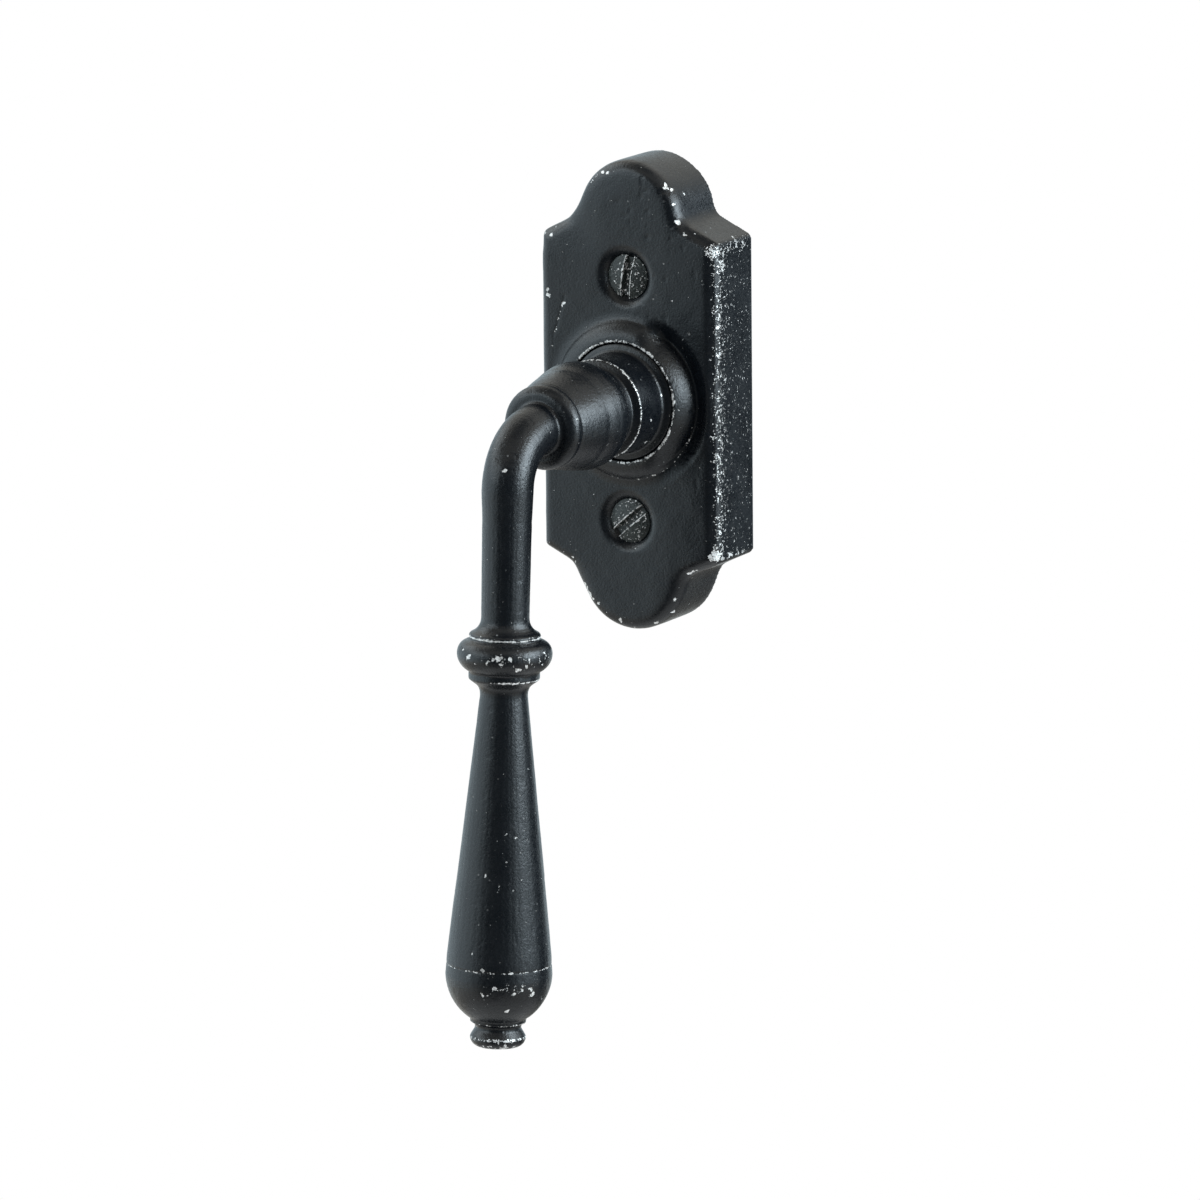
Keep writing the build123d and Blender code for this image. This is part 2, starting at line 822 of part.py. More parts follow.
# Two countersunk screws that hold the mounting plate to the rose
with BuildPart() as plate_screws:
    with Locations(at_depth(0)):
        with Locations((0, plate_screw_z), (0, -plate_screw_z)):
            Cylinder(
                plate_screw_radius,
                plate_screw_depth,
                align=(Align.CENTER, Align.CENTER, Align.MIN),
            )
            Cone(
                plate_head_radius,
                plate_screw_radius,
                plate_head_radius - plate_screw_radius,
                align=(Align.CENTER, Align.CENTER, Align.MIN),
            )
            Box(2 * plate_head_radius, plate_slot_width, 2 * plate_slot_depth, mode=Mode.SUBTRACT)
plate_screws.part.label = "plate_screws"


def make_lug(height):
    """A locating lug: a barrel behind the wall plane, riveted through the plate."""
    with BuildPart() as lug:
        with BuildSketch(at_depth(-lug_length)):
            with Locations((0, height)):
                Circle(lug_radius)
        extrude(amount=lug_length)
        chamfer(lug.faces().sort_by(Axis.Y)[-1].edges(), lug_chamfer)
        with BuildSketch(at_depth(0)):
            with Locations((0, height)):
                Circle(lug_rivet_radius)
        extrude(amount=plate_thickness)
        with Locations(at_depth(0)):
            with Locations((0, height)):
                Cone(
                    lug_radius,
                    lug_rivet_radius,
                    lug_radius - lug_rivet_radius,
                    align=(Align.CENTER, Align.CENTER, Align.MIN),
                )
        with BuildSketch(at_depth(plate_thickness)):
            with Locations((0, height)):
                Circle(lug_flange_radius)
        extrude(amount=lug_flange)
        with BuildSketch(at_depth(-lug_length)):
            with Locations((0, height)):
                Circle(lug_bore)
        extrude(amount=lug_length + plate_thickness + lug_flange, mode=Mode.SUBTRACT)
    return lug.part


upper_lug = make_lug(half_spacing)
upper_lug.label = "upper_lug"
lower_lug = make_lug(-half_spacing)
lower_lug.label = "lower_lug"


def screw_profile():
    """Half section of a raised countersunk fixing screw, head towards the room."""
    head_foot = head_rim - (screw_head_radius - screw_shank_radius)
    with BuildLine() as profile:
        TangentArc(
            (0, -head_rim - screw_dome), (screw_head_radius, -head_rim), tangent=(1, 0)
        )
        Polyline(
            (screw_head_radius, -head_rim),
            (screw_shank_radius, -head_foot),
            (screw_shank_radius, screw_thread_start),
            (screw_thread_radius, screw_thread_start),
            (screw_thread_radius, screw_end - screw_point),
            (screw_thread_radius - screw_point, screw_end),
            (0, screw_end),
            (0, -head_rim - screw_dome),
        )
    return profile.line


# Two slotted screws that fix the handle to the window
with BuildPart() as fixing_screws:
    for screw_z, slot_angle in (
        (half_spacing, upper_slot_angle),
        (-half_spacing, lower_slot_angle),
    ):
        with BuildSketch(Plane.XY.offset(screw_z)):
            with BuildLine():
                add(screw_profile())
            make_face()
        revolve(axis=Axis((0, 0, screw_z), (0, 1, 0)))
        with BuildSketch(at_depth(head_rim + screw_dome - screw_slot_depth)):
            with Locations((0, screw_z)):
                Rectangle(2.2 * screw_head_radius, screw_slot_width, rotation=slot_angle)
        extrude(amount=2 * screw_slot_depth, mode=Mode.SUBTRACT)
fixing_screws.part.label = "fixing_screws"

os.makedirs("parts", exist_ok=True)
export_step(rose.part, "parts/rose.step")
export_step(lever.part, "parts/lever.step")
export_step(spindle.part, "parts/spindle.step")
export_step(grub_screw.part, "parts/grub_screw.step")
export_step(neck_bush.part, "parts/neck_bush.step")
export_step(friction_washer.part, "parts/friction_washer.step")
export_step(spring_washer.part, "parts/spring_washer.step")
export_step(thrust_washer.part, "parts/thrust_washer.step")
export_step(retaining_clip.part, "parts/retaining_clip.step")
export_step(detent_housing.part, "parts/detent_housing.step")
export_step(detent_cam.part, "parts/detent_cam.step")
export_step(right_detent_spring.part, "parts/right_detent_spring.step")
export_step(left_detent_spring.part, "parts/left_detent_spring.step")
export_step(detent_cover.part, "parts/detent_cover.step")
export_step(works_screws.part, "parts/works_screws.step")
export_step(mounting_plate.part, "parts/mounting_plate.step")
export_step(plate_screws.part, "parts/plate_screws.step")
export_step(upper_lug, "parts/upper_lug.step")
export_step(lower_lug, "parts/lower_lug.step")
export_step(fixing_screws.part, "parts/fixing_screws.step")
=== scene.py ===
from math import cos, pi, radians, sin

import bpy
import numpy as np
from mathutils import Matrix, Vector
from mathutils.bvhtree import BVHTree


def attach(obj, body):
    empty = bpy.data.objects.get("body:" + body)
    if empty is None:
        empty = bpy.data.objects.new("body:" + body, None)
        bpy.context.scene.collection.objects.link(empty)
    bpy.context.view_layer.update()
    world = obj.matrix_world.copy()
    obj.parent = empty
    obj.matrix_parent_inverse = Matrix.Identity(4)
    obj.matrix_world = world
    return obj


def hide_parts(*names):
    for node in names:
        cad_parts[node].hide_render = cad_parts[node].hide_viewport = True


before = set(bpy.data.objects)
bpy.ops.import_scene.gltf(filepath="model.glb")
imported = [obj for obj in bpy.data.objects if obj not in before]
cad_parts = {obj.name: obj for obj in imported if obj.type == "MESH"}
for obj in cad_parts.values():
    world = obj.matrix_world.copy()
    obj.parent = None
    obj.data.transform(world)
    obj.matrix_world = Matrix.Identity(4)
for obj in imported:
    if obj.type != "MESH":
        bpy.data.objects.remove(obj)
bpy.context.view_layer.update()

# Lengths in the Blender scene are metres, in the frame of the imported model: the wall plane is
# Y = 0, the handle stands out towards -Y, and the origin is on the spindle's axis.
# The points that the shapes are worked out on are in millimetres, which MM turns into metres.
MM = 0.001

# The photograph's camera, fitted to outlines measured in a 1200 x 1200 frame. Angles in degrees
CAMERA_AZIMUTH = 30.693
CAMERA_ELEVATION = 12.506
CAMERA_ROLL = -0.650
CAMERA_DISTANCE = 1202.36 * MM
CAMERA_RIGHT = -11.397 * MM
CAMERA_UP = -37.203 * MM
FOCAL_PIXELS = 6882.6
FRAME_PIXELS = 1200
SENSOR = 36.0

# Places on the part that the forging marks and the wear follow, in mm
REACH = 52.7
RAKE = radians(3.5)
BOSS_RIM = 10.7
BOSS_RIM_Y = -15.7
BOSS_FOOT = 13.9
SWELL_FOOT = 15.8
SCREW_HEIGHT = 21.5
SCREW_HEAD = 4.0


def toward(azimuth, elevation=0.0):
    """The direction at an azimuth from -Y towards +X and an elevation, both in degrees."""
    a, e = radians(azimuth), radians(elevation)
    return Vector((sin(a) * cos(e), -cos(a) * cos(e), sin(e)))


def add_camera():
    """The camera stands where the photograph was taken from and has its angle of view."""
    back = toward(CAMERA_AZIMUTH, CAMERA_ELEVATION)
    level = toward(CAMERA_AZIMUTH + 90)
    upright = back.cross(level)
    roll = radians(CAMERA_ROLL)
    right = cos(roll) * level + sin(roll) * upright
    up = cos(roll) * upright - sin(roll) * level
    place = back * CAMERA_DISTANCE + right * CAMERA_RIGHT + up * CAMERA_UP
    turn = Matrix((right, up, back)).transposed().to_4x4()
    data = bpy.data.cameras.new("camera")
    data.sensor_width = SENSOR
    data.lens = FOCAL_PIXELS * SENSOR / FRAME_PIXELS
    data.clip_start = 0.01
    data.clip_end = 20
    camera = bpy.data.objects.new("camera", data)
    camera.matrix_world = Matrix.Translation(place) @ turn
    bpy.context.scene.collection.objects.link(camera)
    bpy.context.scene.camera = camera


# ---------- noise, ramps and marks ----------

NOISE_TABLE = 32


def value_noise(points, cell, seed):
    """Smooth seeded noise from -1 to 1, one value for each point, with blobs about a cell wide."""
    table = np.random.default_rng(seed).uniform(-1, 1, (NOISE_TABLE,) * 3)
    place = points / cell
    low = np.floor(place).astype(int)
    part = place - low
    part = part * part * (3 - 2 * part)
    total = np.zeros(len(points))
    for corner in np.ndindex(2, 2, 2):
        index = (low + corner) % NOISE_TABLE
        weight = np.prod(np.where(corner, part, 1 - part), axis=1)
        total += weight * table[index[:, 0], index[:, 1], index[:, 2]]
    return total


def layered_noise(points, layers):
    """The sum of noises, each given as its height in mm, its blobs' size in mm and its seed."""
    return sum(height * value_noise(points, cell, seed) for height, cell, seed in layers)


def ramp(values, start, end):
    """0 at the start and before it, 1 at the end and past it, smooth between them."""
    part = np.clip((values - start) / (end - start), 0, 1)
    return part * part * (3 - 2 * part)


def hump(values, middle, width):
    """1 at the middle, falling smoothly to nothing about two widths away."""
    return np.exp(-((values - middle) / width) ** 2)


def share(places, limits):
    """The product of ramps and humps. Each limit is the ramp or hump, the name of the place that
    it follows and its two values."""
    total = 1.0
    for shape, name, first, second in limits:
        total = total * shape(places[name], first, second)
    return total


def marks(places, rows):
    """The sum of marks, each given as its amount and the limits of its place."""
    return sum(amount * share(places, limits) for amount, limits in rows)


def along_line(points, corners, width):
    """1 on the line through the corners, falling to nothing a few widths away."""
    best = np.zeros(len(points))
    for start, end in zip(np.array(corners[:-1]), np.array(corners[1:])):
        run = end - start
        part = np.clip((points - start) @ run / (run @ run), 0, 1)
        away = np.linalg.norm(points - start - part[:, None] * run, axis=1)
        best = np.maximum(best, hump(away, 0, width))
    return best


# ---------- dense copies of the CAD shapes ----------

# Sizes of the copies' cells, in mm
ROSE_CELL = 0.21
LEVER_CELL = 0.2
SCREW_CELL = 0.11

# How far the points go from the flat facets towards the curve that the normals tell of
CURVE_SHARE = 0.75


def corner_arrays(mesh):
    """The triangles' corner places in mm and their normals, which are the CAD faces' own."""
    mesh.calc_loop_triangles()
    count = len(mesh.loop_triangles)
    vertices = np.empty(count * 3, int)
    mesh.loop_triangles.foreach_get("vertices", vertices)
    loops = np.empty(count * 3, int)
    mesh.loop_triangles.foreach_get("loops", loops)
    places = np.empty(len(mesh.vertices) * 3)
    mesh.vertices.foreach_get("co", places)
    normals = np.empty(len(mesh.loops) * 3)
    mesh.corner_normals.foreach_get("vector", normals)
    places = places.reshape(-1, 3) / MM
    return places, vertices.reshape(-1, 3), normals.reshape(-1, 3)[loops].reshape(-1, 3, 3)


def rounded(points, mesh):
    """Moves points from the mesh's flat facets out to the curved faces that its normals tell of."""
    places, triangles, normals = corner_arrays(mesh)
    tree = BVHTree.FromPolygons([Vector(p) for p in places], triangles.tolist())
    hits = [tree.find_nearest(Vector(p)) for p in points]
    foot = np.array([hit[0] for hit in hits])
    index = np.array([hit[2] for hit in hits])
    a, b, c = corners = [places[triangles[index, k]] for k in range(3)]
    ab, ac, af = b - a, c - a, foot - a
    d00, d01, d11 = (ab * ab).sum(1), (ab * ac).sum(1), (ac * ac).sum(1)
    d20, d21 = (af * ab).sum(1), (af * ac).sum(1)
    area = np.maximum(d00 * d11 - d01 * d01, 1e-12)
    v = np.clip((d11 * d20 - d01 * d21) / area, 0, 1)
    w = np.clip((d00 * d21 - d01 * d20) / area, 0, 1)
    # Each corner's tangent plane pulls the point to itself, by the point's nearness to the corner
    move = np.zeros_like(foot)
    for k, near in enumerate((1 - v - w, v, w)):
        normal = normals[index, k]
        move -= (near * ((foot - corners[k]) * normal).sum(1))[:, None] * normal
    return points + CURVE_SHARE * move


def mesh_arrays(mesh):
    """The places in mm and the edges of a mesh."""
    points = np.empty(len(mesh.vertices) * 3)
    mesh.vertices.foreach_get("co", points)
    edges = np.empty(len(mesh.edges) * 2, int)
    mesh.edges.foreach_get("vertices", edges)
    return points.reshape(-1, 3) / MM, edges.reshape(-1, 2)


def neighbour_mean(values, edges):
    """The mean of each vertex's neighbours."""
    ends = np.concatenate((edges[:, 0], edges[:, 1]))
    others = np.concatenate((edges[:, 1], edges[:, 0]))
    count = np.maximum(np.bincount(ends, minlength=len(values)), 1)
    if values.ndim == 1:
        return np.bincount(ends, values[others], len(values)) / count
    sums = [np.bincount(ends, values[others, k], len(values)) for k in range(3)]
    return np.stack(sums, 1) / count[:, None]


def smoothed(values, edges, rounds):
    """The values after some rounds of going half the way to the neighbours' mean."""
    for _ in range(rounds):
        values = 0.5 * values + 0.5 * neighbour_mean(values, edges)
    return values


def surface_normals(mesh, points):
    """Sets the mesh to the points and gives its normals."""
    mesh.vertices.foreach_set("co", (points * MM).ravel())
    mesh.update()
    normals = np.empty(len(points) * 3)
    mesh.vertex_normals.foreach_get("vector", normals)
    return normals.reshape(-1, 3)


def dense_copy(node, name, cell):
    """A CAD node's shape as one even, closed mesh with cells small enough to carry forging marks."""
    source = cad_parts[node].data
    draft_mesh = source.copy()
    draft_mesh.materials.clear()
    draft = bpy.data.objects.new("draft", draft_mesh)
    bpy.context.scene.collection.objects.link(draft)
    remesh = draft.modifiers.new("cells", "REMESH")
    remesh.mode = "VOXEL"
    remesh.voxel_size = cell * MM
    remesh.use_smooth_shade = True
    done = draft.evaluated_get(bpy.context.evaluated_depsgraph_get())
    mesh = bpy.data.meshes.new_from_object(done)
    mesh.name = name
    bpy.data.objects.remove(draft)
    bpy.data.meshes.remove(draft_mesh)
    piece = bpy.data.objects.new(name, mesh)
    bpy.context.scene.collection.objects.link(piece)
    points, edges = mesh_arrays(mesh)
    return piece, rounded(points, source), edges


def arris(points, normals, edges, rounds):
    """How far each point stands out of the shape smoothed round it: high on outer edges."""
    return ((points - smoothed(points, edges, rounds)) * normals).sum(1)


def finish_piece(piece, points, wear, speck, coarse):
    """Sets the mesh to its last points, and stores for each point what the material reads."""
    surface_normals(piece.data, points)
    for name, values in (("wear", wear), ("speck", np.clip(speck, 0, 1)), ("coarse", coarse)):
        attribute = piece.data.attributes.new(name, "FLOAT", "POINT")
        attribute.data.foreach_set("value", values.astype(np.float32))


# ---------- wear of the forgings ----------

# The wear that a coat has everywhere, from 0 to 1
BASE_WEAR = 0.08

# How deep the coat's loss is, in mm, and the wear where the surface starts to sink and ends
COAT_DEPTH = 0.05
COAT_LOSS = (0.45, 0.9)

# Outer edges are found by smoothing the shape for some rounds, and what is found is then evened
EDGE_ROUNDS = 10
EDGE_EVENING = 2

# Chips are ragged: a noise shifts the places by this much in mm. Its cell and its seeds in x, y, z
RAGGED_SHIFT = 0.38
RAGGED_CELL = 0.75
RAGGED_SEEDS = (31, 32, 33)

# A chip's full wear ends, and its wear is gone, at these distances in shares of its radius
CHIP_CORE = 0.396
CHIP_END = 1.276


def add_chips(field, points, chips):
    """Raises the wear to at least each chip's own, which falls off towards the chip's edge."""
    ragged = np.stack([value_noise(points, RAGGED_CELL, seed) for seed in RAGGED_SEEDS], 1)
    points = points + RAGGED_SHIFT * ragged
    for x, y, z, radius, amount in chips:
        away = np.linalg.norm(points - (x, y, z), axis=1) / radius
        fall = (CHIP_END - away) / (CHIP_END - CHIP_CORE)
        field = np.maximum(field, amount * np.clip(fall, 0, 1))
    return field


def patches(points, amount, cell, seed, low, high):
    """The amount where a noise is over high, falling to none where it is under low."""
    return amount * ramp(value_noise(points, cell, seed), low, high)


# ---------- rose ----------

# Chips in the rose's coat: x, y, z, radius in mm and amount
# The larger chips on the right side, at x about 17, are partly real wear and partly painted glints of
# the lamp along the arris
ROSE_CHIPS_AND_GLINTS = [
    (17.0, -12.2, 26.8, 1.7, 0.62), (17.4, -9.8, 27.0, 1.4, 0.55), (17.3, -5.4, 28.0, 1.1, 0.50),
    (17.5, -10.8, 24.4, 2.0, 0.50), (17.5, -3.0, 27.0, 1.1, 0.5), (16.2, -12.6, 27.6, 1.2, 0.6),
    (7.8, -12.2, 37.9, 0.65, 1.0), (8.4, -11.6, 37.3, 0.5, 1.0), (9.2, -8.8, 36.2, 0.6, 1.0),
    (9.4, -12.3, 34.6, 0.5, 1.0), (10.1, -12.5, 31.7, 0.6, 1.0), (11.7, -13.0, 29.9, 0.55, 1.0),
    (11.3, -13.2, 30.9, 0.35, 0.9), (13.0, -11.9, 29.6, 0.45, 0.95), (-4.7, -12.9, 39.6, 0.55, 1.0),
    (1.6, -12.7, 40.2, 0.3, 0.9), (-7.1, -12.8, 38.0, 0.75, 0.8), (-6.2, -12.6, 38.9, 0.5, 0.8),
    (-12.4, -13.5, 16.0, 0.35, 0.8), (-15.4, -13.4, 17.1, 0.4, 0.9), (-15.0, -13.2, 27.9, 0.45, 0.9),
    (-15.5, -13.4, 18.4, 0.4, 0.9), (13.2, -13.8, 4.9, 0.4, 0.85), (12.8, -13.8, 5.7, 0.35, 0.8),
    (16.8, -12.7, 6.1, 0.4, 0.9), (4.7, -12.3, -39.4, 0.5, 0.9), (8.8, -12.5, -34.7, 0.5, 1.0),
    (-1.5, -13.2, -39.4, 0.45, 0.95), (-7.4, -13.1, -35.9, 0.5, 0.95), (-8.4, -12.8, -34.9, 0.5, 0.95),
    (11.7, -12.5, -29.8, 0.45, 1.0), (12.3, -12.4, -29.5, 0.4, 1.0), (13.0, -12.2, -29.2, 0.35, 1.0),
    (10.9, -13.0, -28.8, 0.3, 0.8), (17.2, -12.0, -26.2, 1.2, 0.95), (16.5, -12.9, -26.5, 0.8, 0.9),
    (17.5, -5.4, -26.8, 0.6, 0.8), (17.5, -8.3, -26.7, 0.7, 0.8), (9.0, -13.5, 18.0, 0.28, 0.8),
    (-3.5, -15.3, -9.2, 0.3, 0.8), (-9.5, -12.6, 17.5, 0.25, 0.8), (-9.0, -12.9, -33.6, 0.55, 1.0),
    (-8.5, -12.9, -34.3, 0.5, 1.0), (-7.9, -13.0, -35.2, 0.55, 1.0), (-6.5, -13.0, -36.8, 0.5, 0.95),
    (-13.0, -13.2, -27.8, 0.45, 0.9), (-11.4, -13.2, -28.9, 0.4, 0.9), (-10.9, -13.1, -29.8, 0.38, 0.9),
    (0.7, -12.6, -40.6, 0.38, 0.85), (7.6, -11.5, -37.2, 0.45, 0.95), (-6.6, -12.7, 38.5, 0.5, 0.95),
    (-6.0, -12.7, 38.9, 0.45, 0.95), (-5.2, -12.6, 39.4, 0.4, 0.9), (-3.6, -12.7, 39.6, 0.42, 0.95),
]

# The scratch in the coat left of the boss: points in mm
SCRATCH = [(-12.2, -13.5, 17.2), (-13.4, -13.5, 13.6), (-14.0, -13.5, 11.4), (-14.6, -13.4, 10.2)]


# The boss's right flank: its slope at the rim and how much it steepens on the way down, and the
# distances from the axis where the dip at its foot starts and ends
FLANK_SLOPE = 1.10
FLANK_BEND = 0.204
DIP_FOOT = 13.15
DIP_END = 16.6

# Where the change fades: the angles round the boss in degrees, past the dip's end, and towards
# the wall, by the distance from it
FLANK_FADE_BELOW = (-70, -25)
FLANK_FADE_ABOVE = (76, 52)
DIP_FADE = (DIP_END + 0.5, DIP_END)
FLANK_DEPTH = (11, 12.2)


def steepen_flank(points):
    """The boss's right flank is steeper than the rest and runs down into a shallow dip of the face."""
    x, y, z = points.T
    axis = np.hypot(x, z)
    angle = np.degrees(np.arctan2(z, x))
    amount = ramp(angle, *FLANK_FADE_BELOW) * ramp(angle, *FLANK_FADE_ABOVE)
    amount *= ramp(-y, *FLANK_DEPTH) * ramp(axis, *DIP_FADE) * (axis > BOSS_RIM)
    run, foot = axis - BOSS_RIM, DIP_FOOT - BOSS_RIM
    flank = BOSS_RIM_Y + FLANK_SLOPE * run + FLANK_BEND * run ** 2
    dip = BOSS_RIM_Y + FLANK_SLOPE * foot + FLANK_BEND * foot ** 2
    rising = dip + (y - dip) * ramp(axis, DIP_FOOT, DIP_END)
    level = np.where(axis < DIP_FOOT, flank, rising)
    return np.stack((x, y + amount * (level - y), z), 1)


# The straight right edge as made: where its roll-off starts in x, its run and its fall, and the
# level of its arris
EDGE_START = 15.1
EDGE_RUN = 2.4
EDGE_FALL = 1.8
EDGE_Y = -11.7

# Its bevel: the slope, the run in which it comes to that slope, the run at which it leaves it,
# the heights where it fades towards the ends, and the levels where it fades towards the wall
BEVEL_SLOPE = 0.62
BEVEL_EASE = 1.2
BEVEL_END = 1.8
BEVEL_HEIGHTS = (27.2, 25)
BEVEL_LEVELS = (EDGE_Y + 0.15, EDGE_Y - 0.05)


def lean_edge(points):
    """The straight right edge leans over in a broad bevel before it drops to its arris."""
    x, y, z = points.T
    run = np.clip(x - EDGE_START, 0, EDGE_RUN)
    as_made = EDGE_FALL * (run / EDGE_RUN) ** 3
    eased = np.where(run < BEVEL_EASE, BEVEL_SLOPE * run ** 2 / (2 * BEVEL_EASE),
                     BEVEL_SLOPE * (run - BEVEL_EASE / 2))
    drop = (EDGE_FALL - BEVEL_SLOPE * (EDGE_RUN - BEVEL_EASE / 2)) / (EDGE_RUN - BEVEL_END) ** 2
    leaning = eased + drop * np.maximum(run - BEVEL_END, 0) ** 2
    amount = ramp(np.abs(z), *BEVEL_HEIGHTS) * ramp(y, *BEVEL_LEVELS)
    return np.stack((x, y + amount * (leaning - as_made), z), 1)


# The forging isn't quite symmetrical: the left coves are fuller, the right one at the bottom too,
# and the left shoulder and the top are lower. Centre x and z, move in x and z, and spread, in mm
UNEQUAL_SPOTS = [
    (-10.3, 31.5, -0.85, 0, 2.2), (-10.3, -31.5, -0.85, 0, 2.2), (10.3, -31.5, 0.4, 0, 2.2),
    (-17.0, 26.5, 0.1, -0.5, 1.8), (6.5, 40.5, 0, -0.25, 4.0),
]

# The upper cap's face falls away to its left, and the face's right side leans back
CAP_CENTRE = 31
CAP_FALL = 0.45
CAP_FALL_PLACE = [(ramp, "cap", 4.5, 10.8), (ramp, "x", 4, -3), (ramp, "z", 24, 31),
                  (ramp, "y", -9, -11)]
FACE_LEAN = 0.003
FACE_LEAN_START = 4
FACE_LEAN_PLACE = [(ramp, "axis", 14, 18), (ramp, "y", -10, -12.5)]

# The caps' edges are blunt, and only the straight sides keep their crisp arris
BLUNT_ROUNDS = 50
BLUNT_PLACE = [(ramp, "end", 27.5, 31), (ramp, "y", -6, -9)]


def rose_places(points):
    """Where each point is: in x, y and z, out from the spindle's axis, from the upper cap's centre
    and from the nearer screw's axis, towards the nearer end, and to the upper right."""
    x, y, z = points.T
    return {"x": x, "y": y, "z": z, "axis": np.hypot(x, z), "cap": np.hypot(x, z - CAP_CENTRE),
            "seat": np.hypot(x, np.abs(z) - SCREW_HEIGHT), "end": np.abs(z),
            "slant": x + 0.25 * z, "steep_slant": x + 0.3 * z}


def shape_rose(points, edges):
    """The uneven shape of the one forging in the photograph, on top of the solid's."""
    x, y, z = points.T
    for spot_x, spot_z, move_x, move_z, spread in UNEQUAL_SPOTS:
        near = np.exp(-((x - spot_x) ** 2 + (z - spot_z) ** 2) / spread ** 2)
        points = points + near[:, None] * np.array((move_x, 0, move_z))
    points = lean_edge(steepen_flank(points))
    fall = CAP_FALL * share(rose_places(points), CAP_FALL_PLACE)
    points = points + fall[:, None] * np.array((0, 1, 0))
    lean = FACE_LEAN * np.maximum(points[:, 0] - FACE_LEAN_START, 0) ** 2
    lean = lean * share(rose_places(points), FACE_LEAN_PLACE)
    points = points + lean[:, None] * np.array((0, 1, 0))
    blunt = share(rose_places(points), BLUNT_PLACE)
    return points + blunt[:, None] * (smoothed(points, edges, BLUNT_ROUNDS) - points)


# Hammer unevenness and finer ripples: height, size and seed
ROSE_RIPPLES = [(0.075, 7.5, 1), (0.028, 2.6, 2), (0.010, 0.9, 3)]

# Small pits on the right half of the face, as patches of a noise: depth, size, seed, and the
# noise where they start and are full. Then the scratch: depth and width, wear and its width
ROSE_PITS = (0.05, 1.15, 4, 0.42, 0.75)
ROSE_PIT_PLACE = [(ramp, "slant", 1, 9), (ramp, "y", -11.5, -13)]
SCRATCH_DEPTH = 0.05
SCRATCH_WIDTH = 0.3
SCRATCH_WEAR = 0.50
SCRATCH_WEAR_WIDTH = 0.20

# The marks stay off the bore, the wall side and the screws' seats, and so does the wear
ROSE_MARKED = [(ramp, "axis", BOSS_RIM - 0.2, BOSS_RIM + 1.5), (ramp, "y", -0.2, -1.5),
               (ramp, "seat", 4.3, 5.5)]
ROSE_WORN = [(ramp, "axis", BOSS_RIM - 0.6, BOSS_RIM - 0.2), (ramp, "y", -0.05, -0.4),
             (ramp, "seat", 4.2, 4.4)]

RIGHT_SIDE = [(ramp, "x", 15.8, 16.8), (ramp, "z", -27.2, -26.5), (ramp, "z", 28, 26.5)]
ROSE_WEAR_AND_GLINTS = [
    # The band of flecks on the right side, thickest along the arris: partly real wear and partly painted
    # glints of the lamp, which the rounded arris mirrors
    (0.17, [*RIGHT_SIDE, (hump, "y", EDGE_Y, 0.9)]),
    (0.13, [*RIGHT_SIDE, (hump, "y", -10.6, 2.0)]),
    (0.04, [*RIGHT_SIDE, (ramp, "y", -1, -12)]),
    # The upper part of the left edge
    (0.24, [(ramp, "x", -15.8, -16.9), (hump, "y", -12.2, 0.8), (ramp, "z", 8, 30)]),
    # All outer edges of the face
    (0.16, [(ramp, "edge", 0.010, 0.05), (ramp, "y", -11.5, -12.5)]),
    # The boss's rim, and the line along its foot at the lower right
    (0.58, [(hump, "axis", BOSS_RIM - 0.02, 0.28), (hump, "y", -15.62, 0.32)]),
    (0.34, [(ramp, "x", -6, -1), (ramp, "z", -2, -7), (hump, "foot", BOSS_FOOT, 0.17),
            (ramp, "y", -11.5, -12)]),
    # The right side's lower and upper corners
    (0.30, [(hump, "z", -26.9, 0.35), (ramp, "x", 16.5, 17.0), (ramp, "y", -0.5, -2)]),
    (0.22, [(hump, "z", 27.3, 1.0), (ramp, "x", 16.8, 17.2), (ramp, "y", -0.5, -2)]),
]

# The line along the boss's foot runs nearer to the axis on the right, by this much between these x
FOOT_SHIFT = 0.75
FOOT_SHIFT_PLACE = [(ramp, "x", 8, 12)]

# The face's edges lie outside this distance from the axis. The boss's have their own lines of wear
FACE_EDGES_FROM = SWELL_FOOT + 0.6

# Specks of dust, and where the coat is coarse
ROSE_BASE_SPECK = 0.03
ROSE_SPECK = [
    (0.90, [(ramp, "x", 17.1, 17.4)]),
    (0.16, [(ramp, "steep_slant", 6, 16)]),
    (0.20, [(hump, "axis", 13, 1), (ramp, "x", 4, 12)]),
]
ROSE_COARSE = [(ramp, "x", 16.0, 16.8), (ramp, "y", -0.2, -0.6)]


def make_rose():
    """The rose with its forging marks, its worn and chipped coat, and pale flecks along its right arris
    that are partly painted glints of the lamp.
    """
    piece, points, edges = dense_copy("rose", "rose_forging", ROSE_CELL)
    points = shape_rose(points, edges)
    normals = surface_normals(piece.data, points)
    places = rose_places(points)
    edge = smoothed(arris(points, normals, edges, EDGE_ROUNDS), edges, EDGE_EVENING)
    places["edge"] = np.where(places["axis"] > FACE_EDGES_FROM, edge, 0)
    places["foot"] = places["axis"] + FOOT_SHIFT * share(places, FOOT_SHIFT_PLACE)

    # Wear, with painted glints of the lamp as pale bare flecks along the right arris
    wear = BASE_WEAR + marks(places, ROSE_WEAR_AND_GLINTS)
    wear = np.maximum(wear, SCRATCH_WEAR * along_line(points, SCRATCH, SCRATCH_WEAR_WIDTH))
    wear = add_chips(wear, points, ROSE_CHIPS_AND_GLINTS) * share(places, ROSE_WORN)
    lift = layered_noise(points, ROSE_RIPPLES)
    lift -= patches(points, *ROSE_PITS) * share(places, ROSE_PIT_PLACE)
    lift -= SCRATCH_DEPTH * along_line(points, SCRATCH, SCRATCH_WIDTH)
    lift -= COAT_DEPTH * ramp(wear, *COAT_LOSS)
    lift *= share(places, ROSE_MARKED)

    finish_piece(piece, points + lift[:, None] * normals, wear,
                 speck=ROSE_BASE_SPECK + marks(places, ROSE_SPECK), coarse=share(places, ROSE_COARSE))
    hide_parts("rose")
    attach(piece, "fixed_rose")
    return piece


# ---------- lever ----------

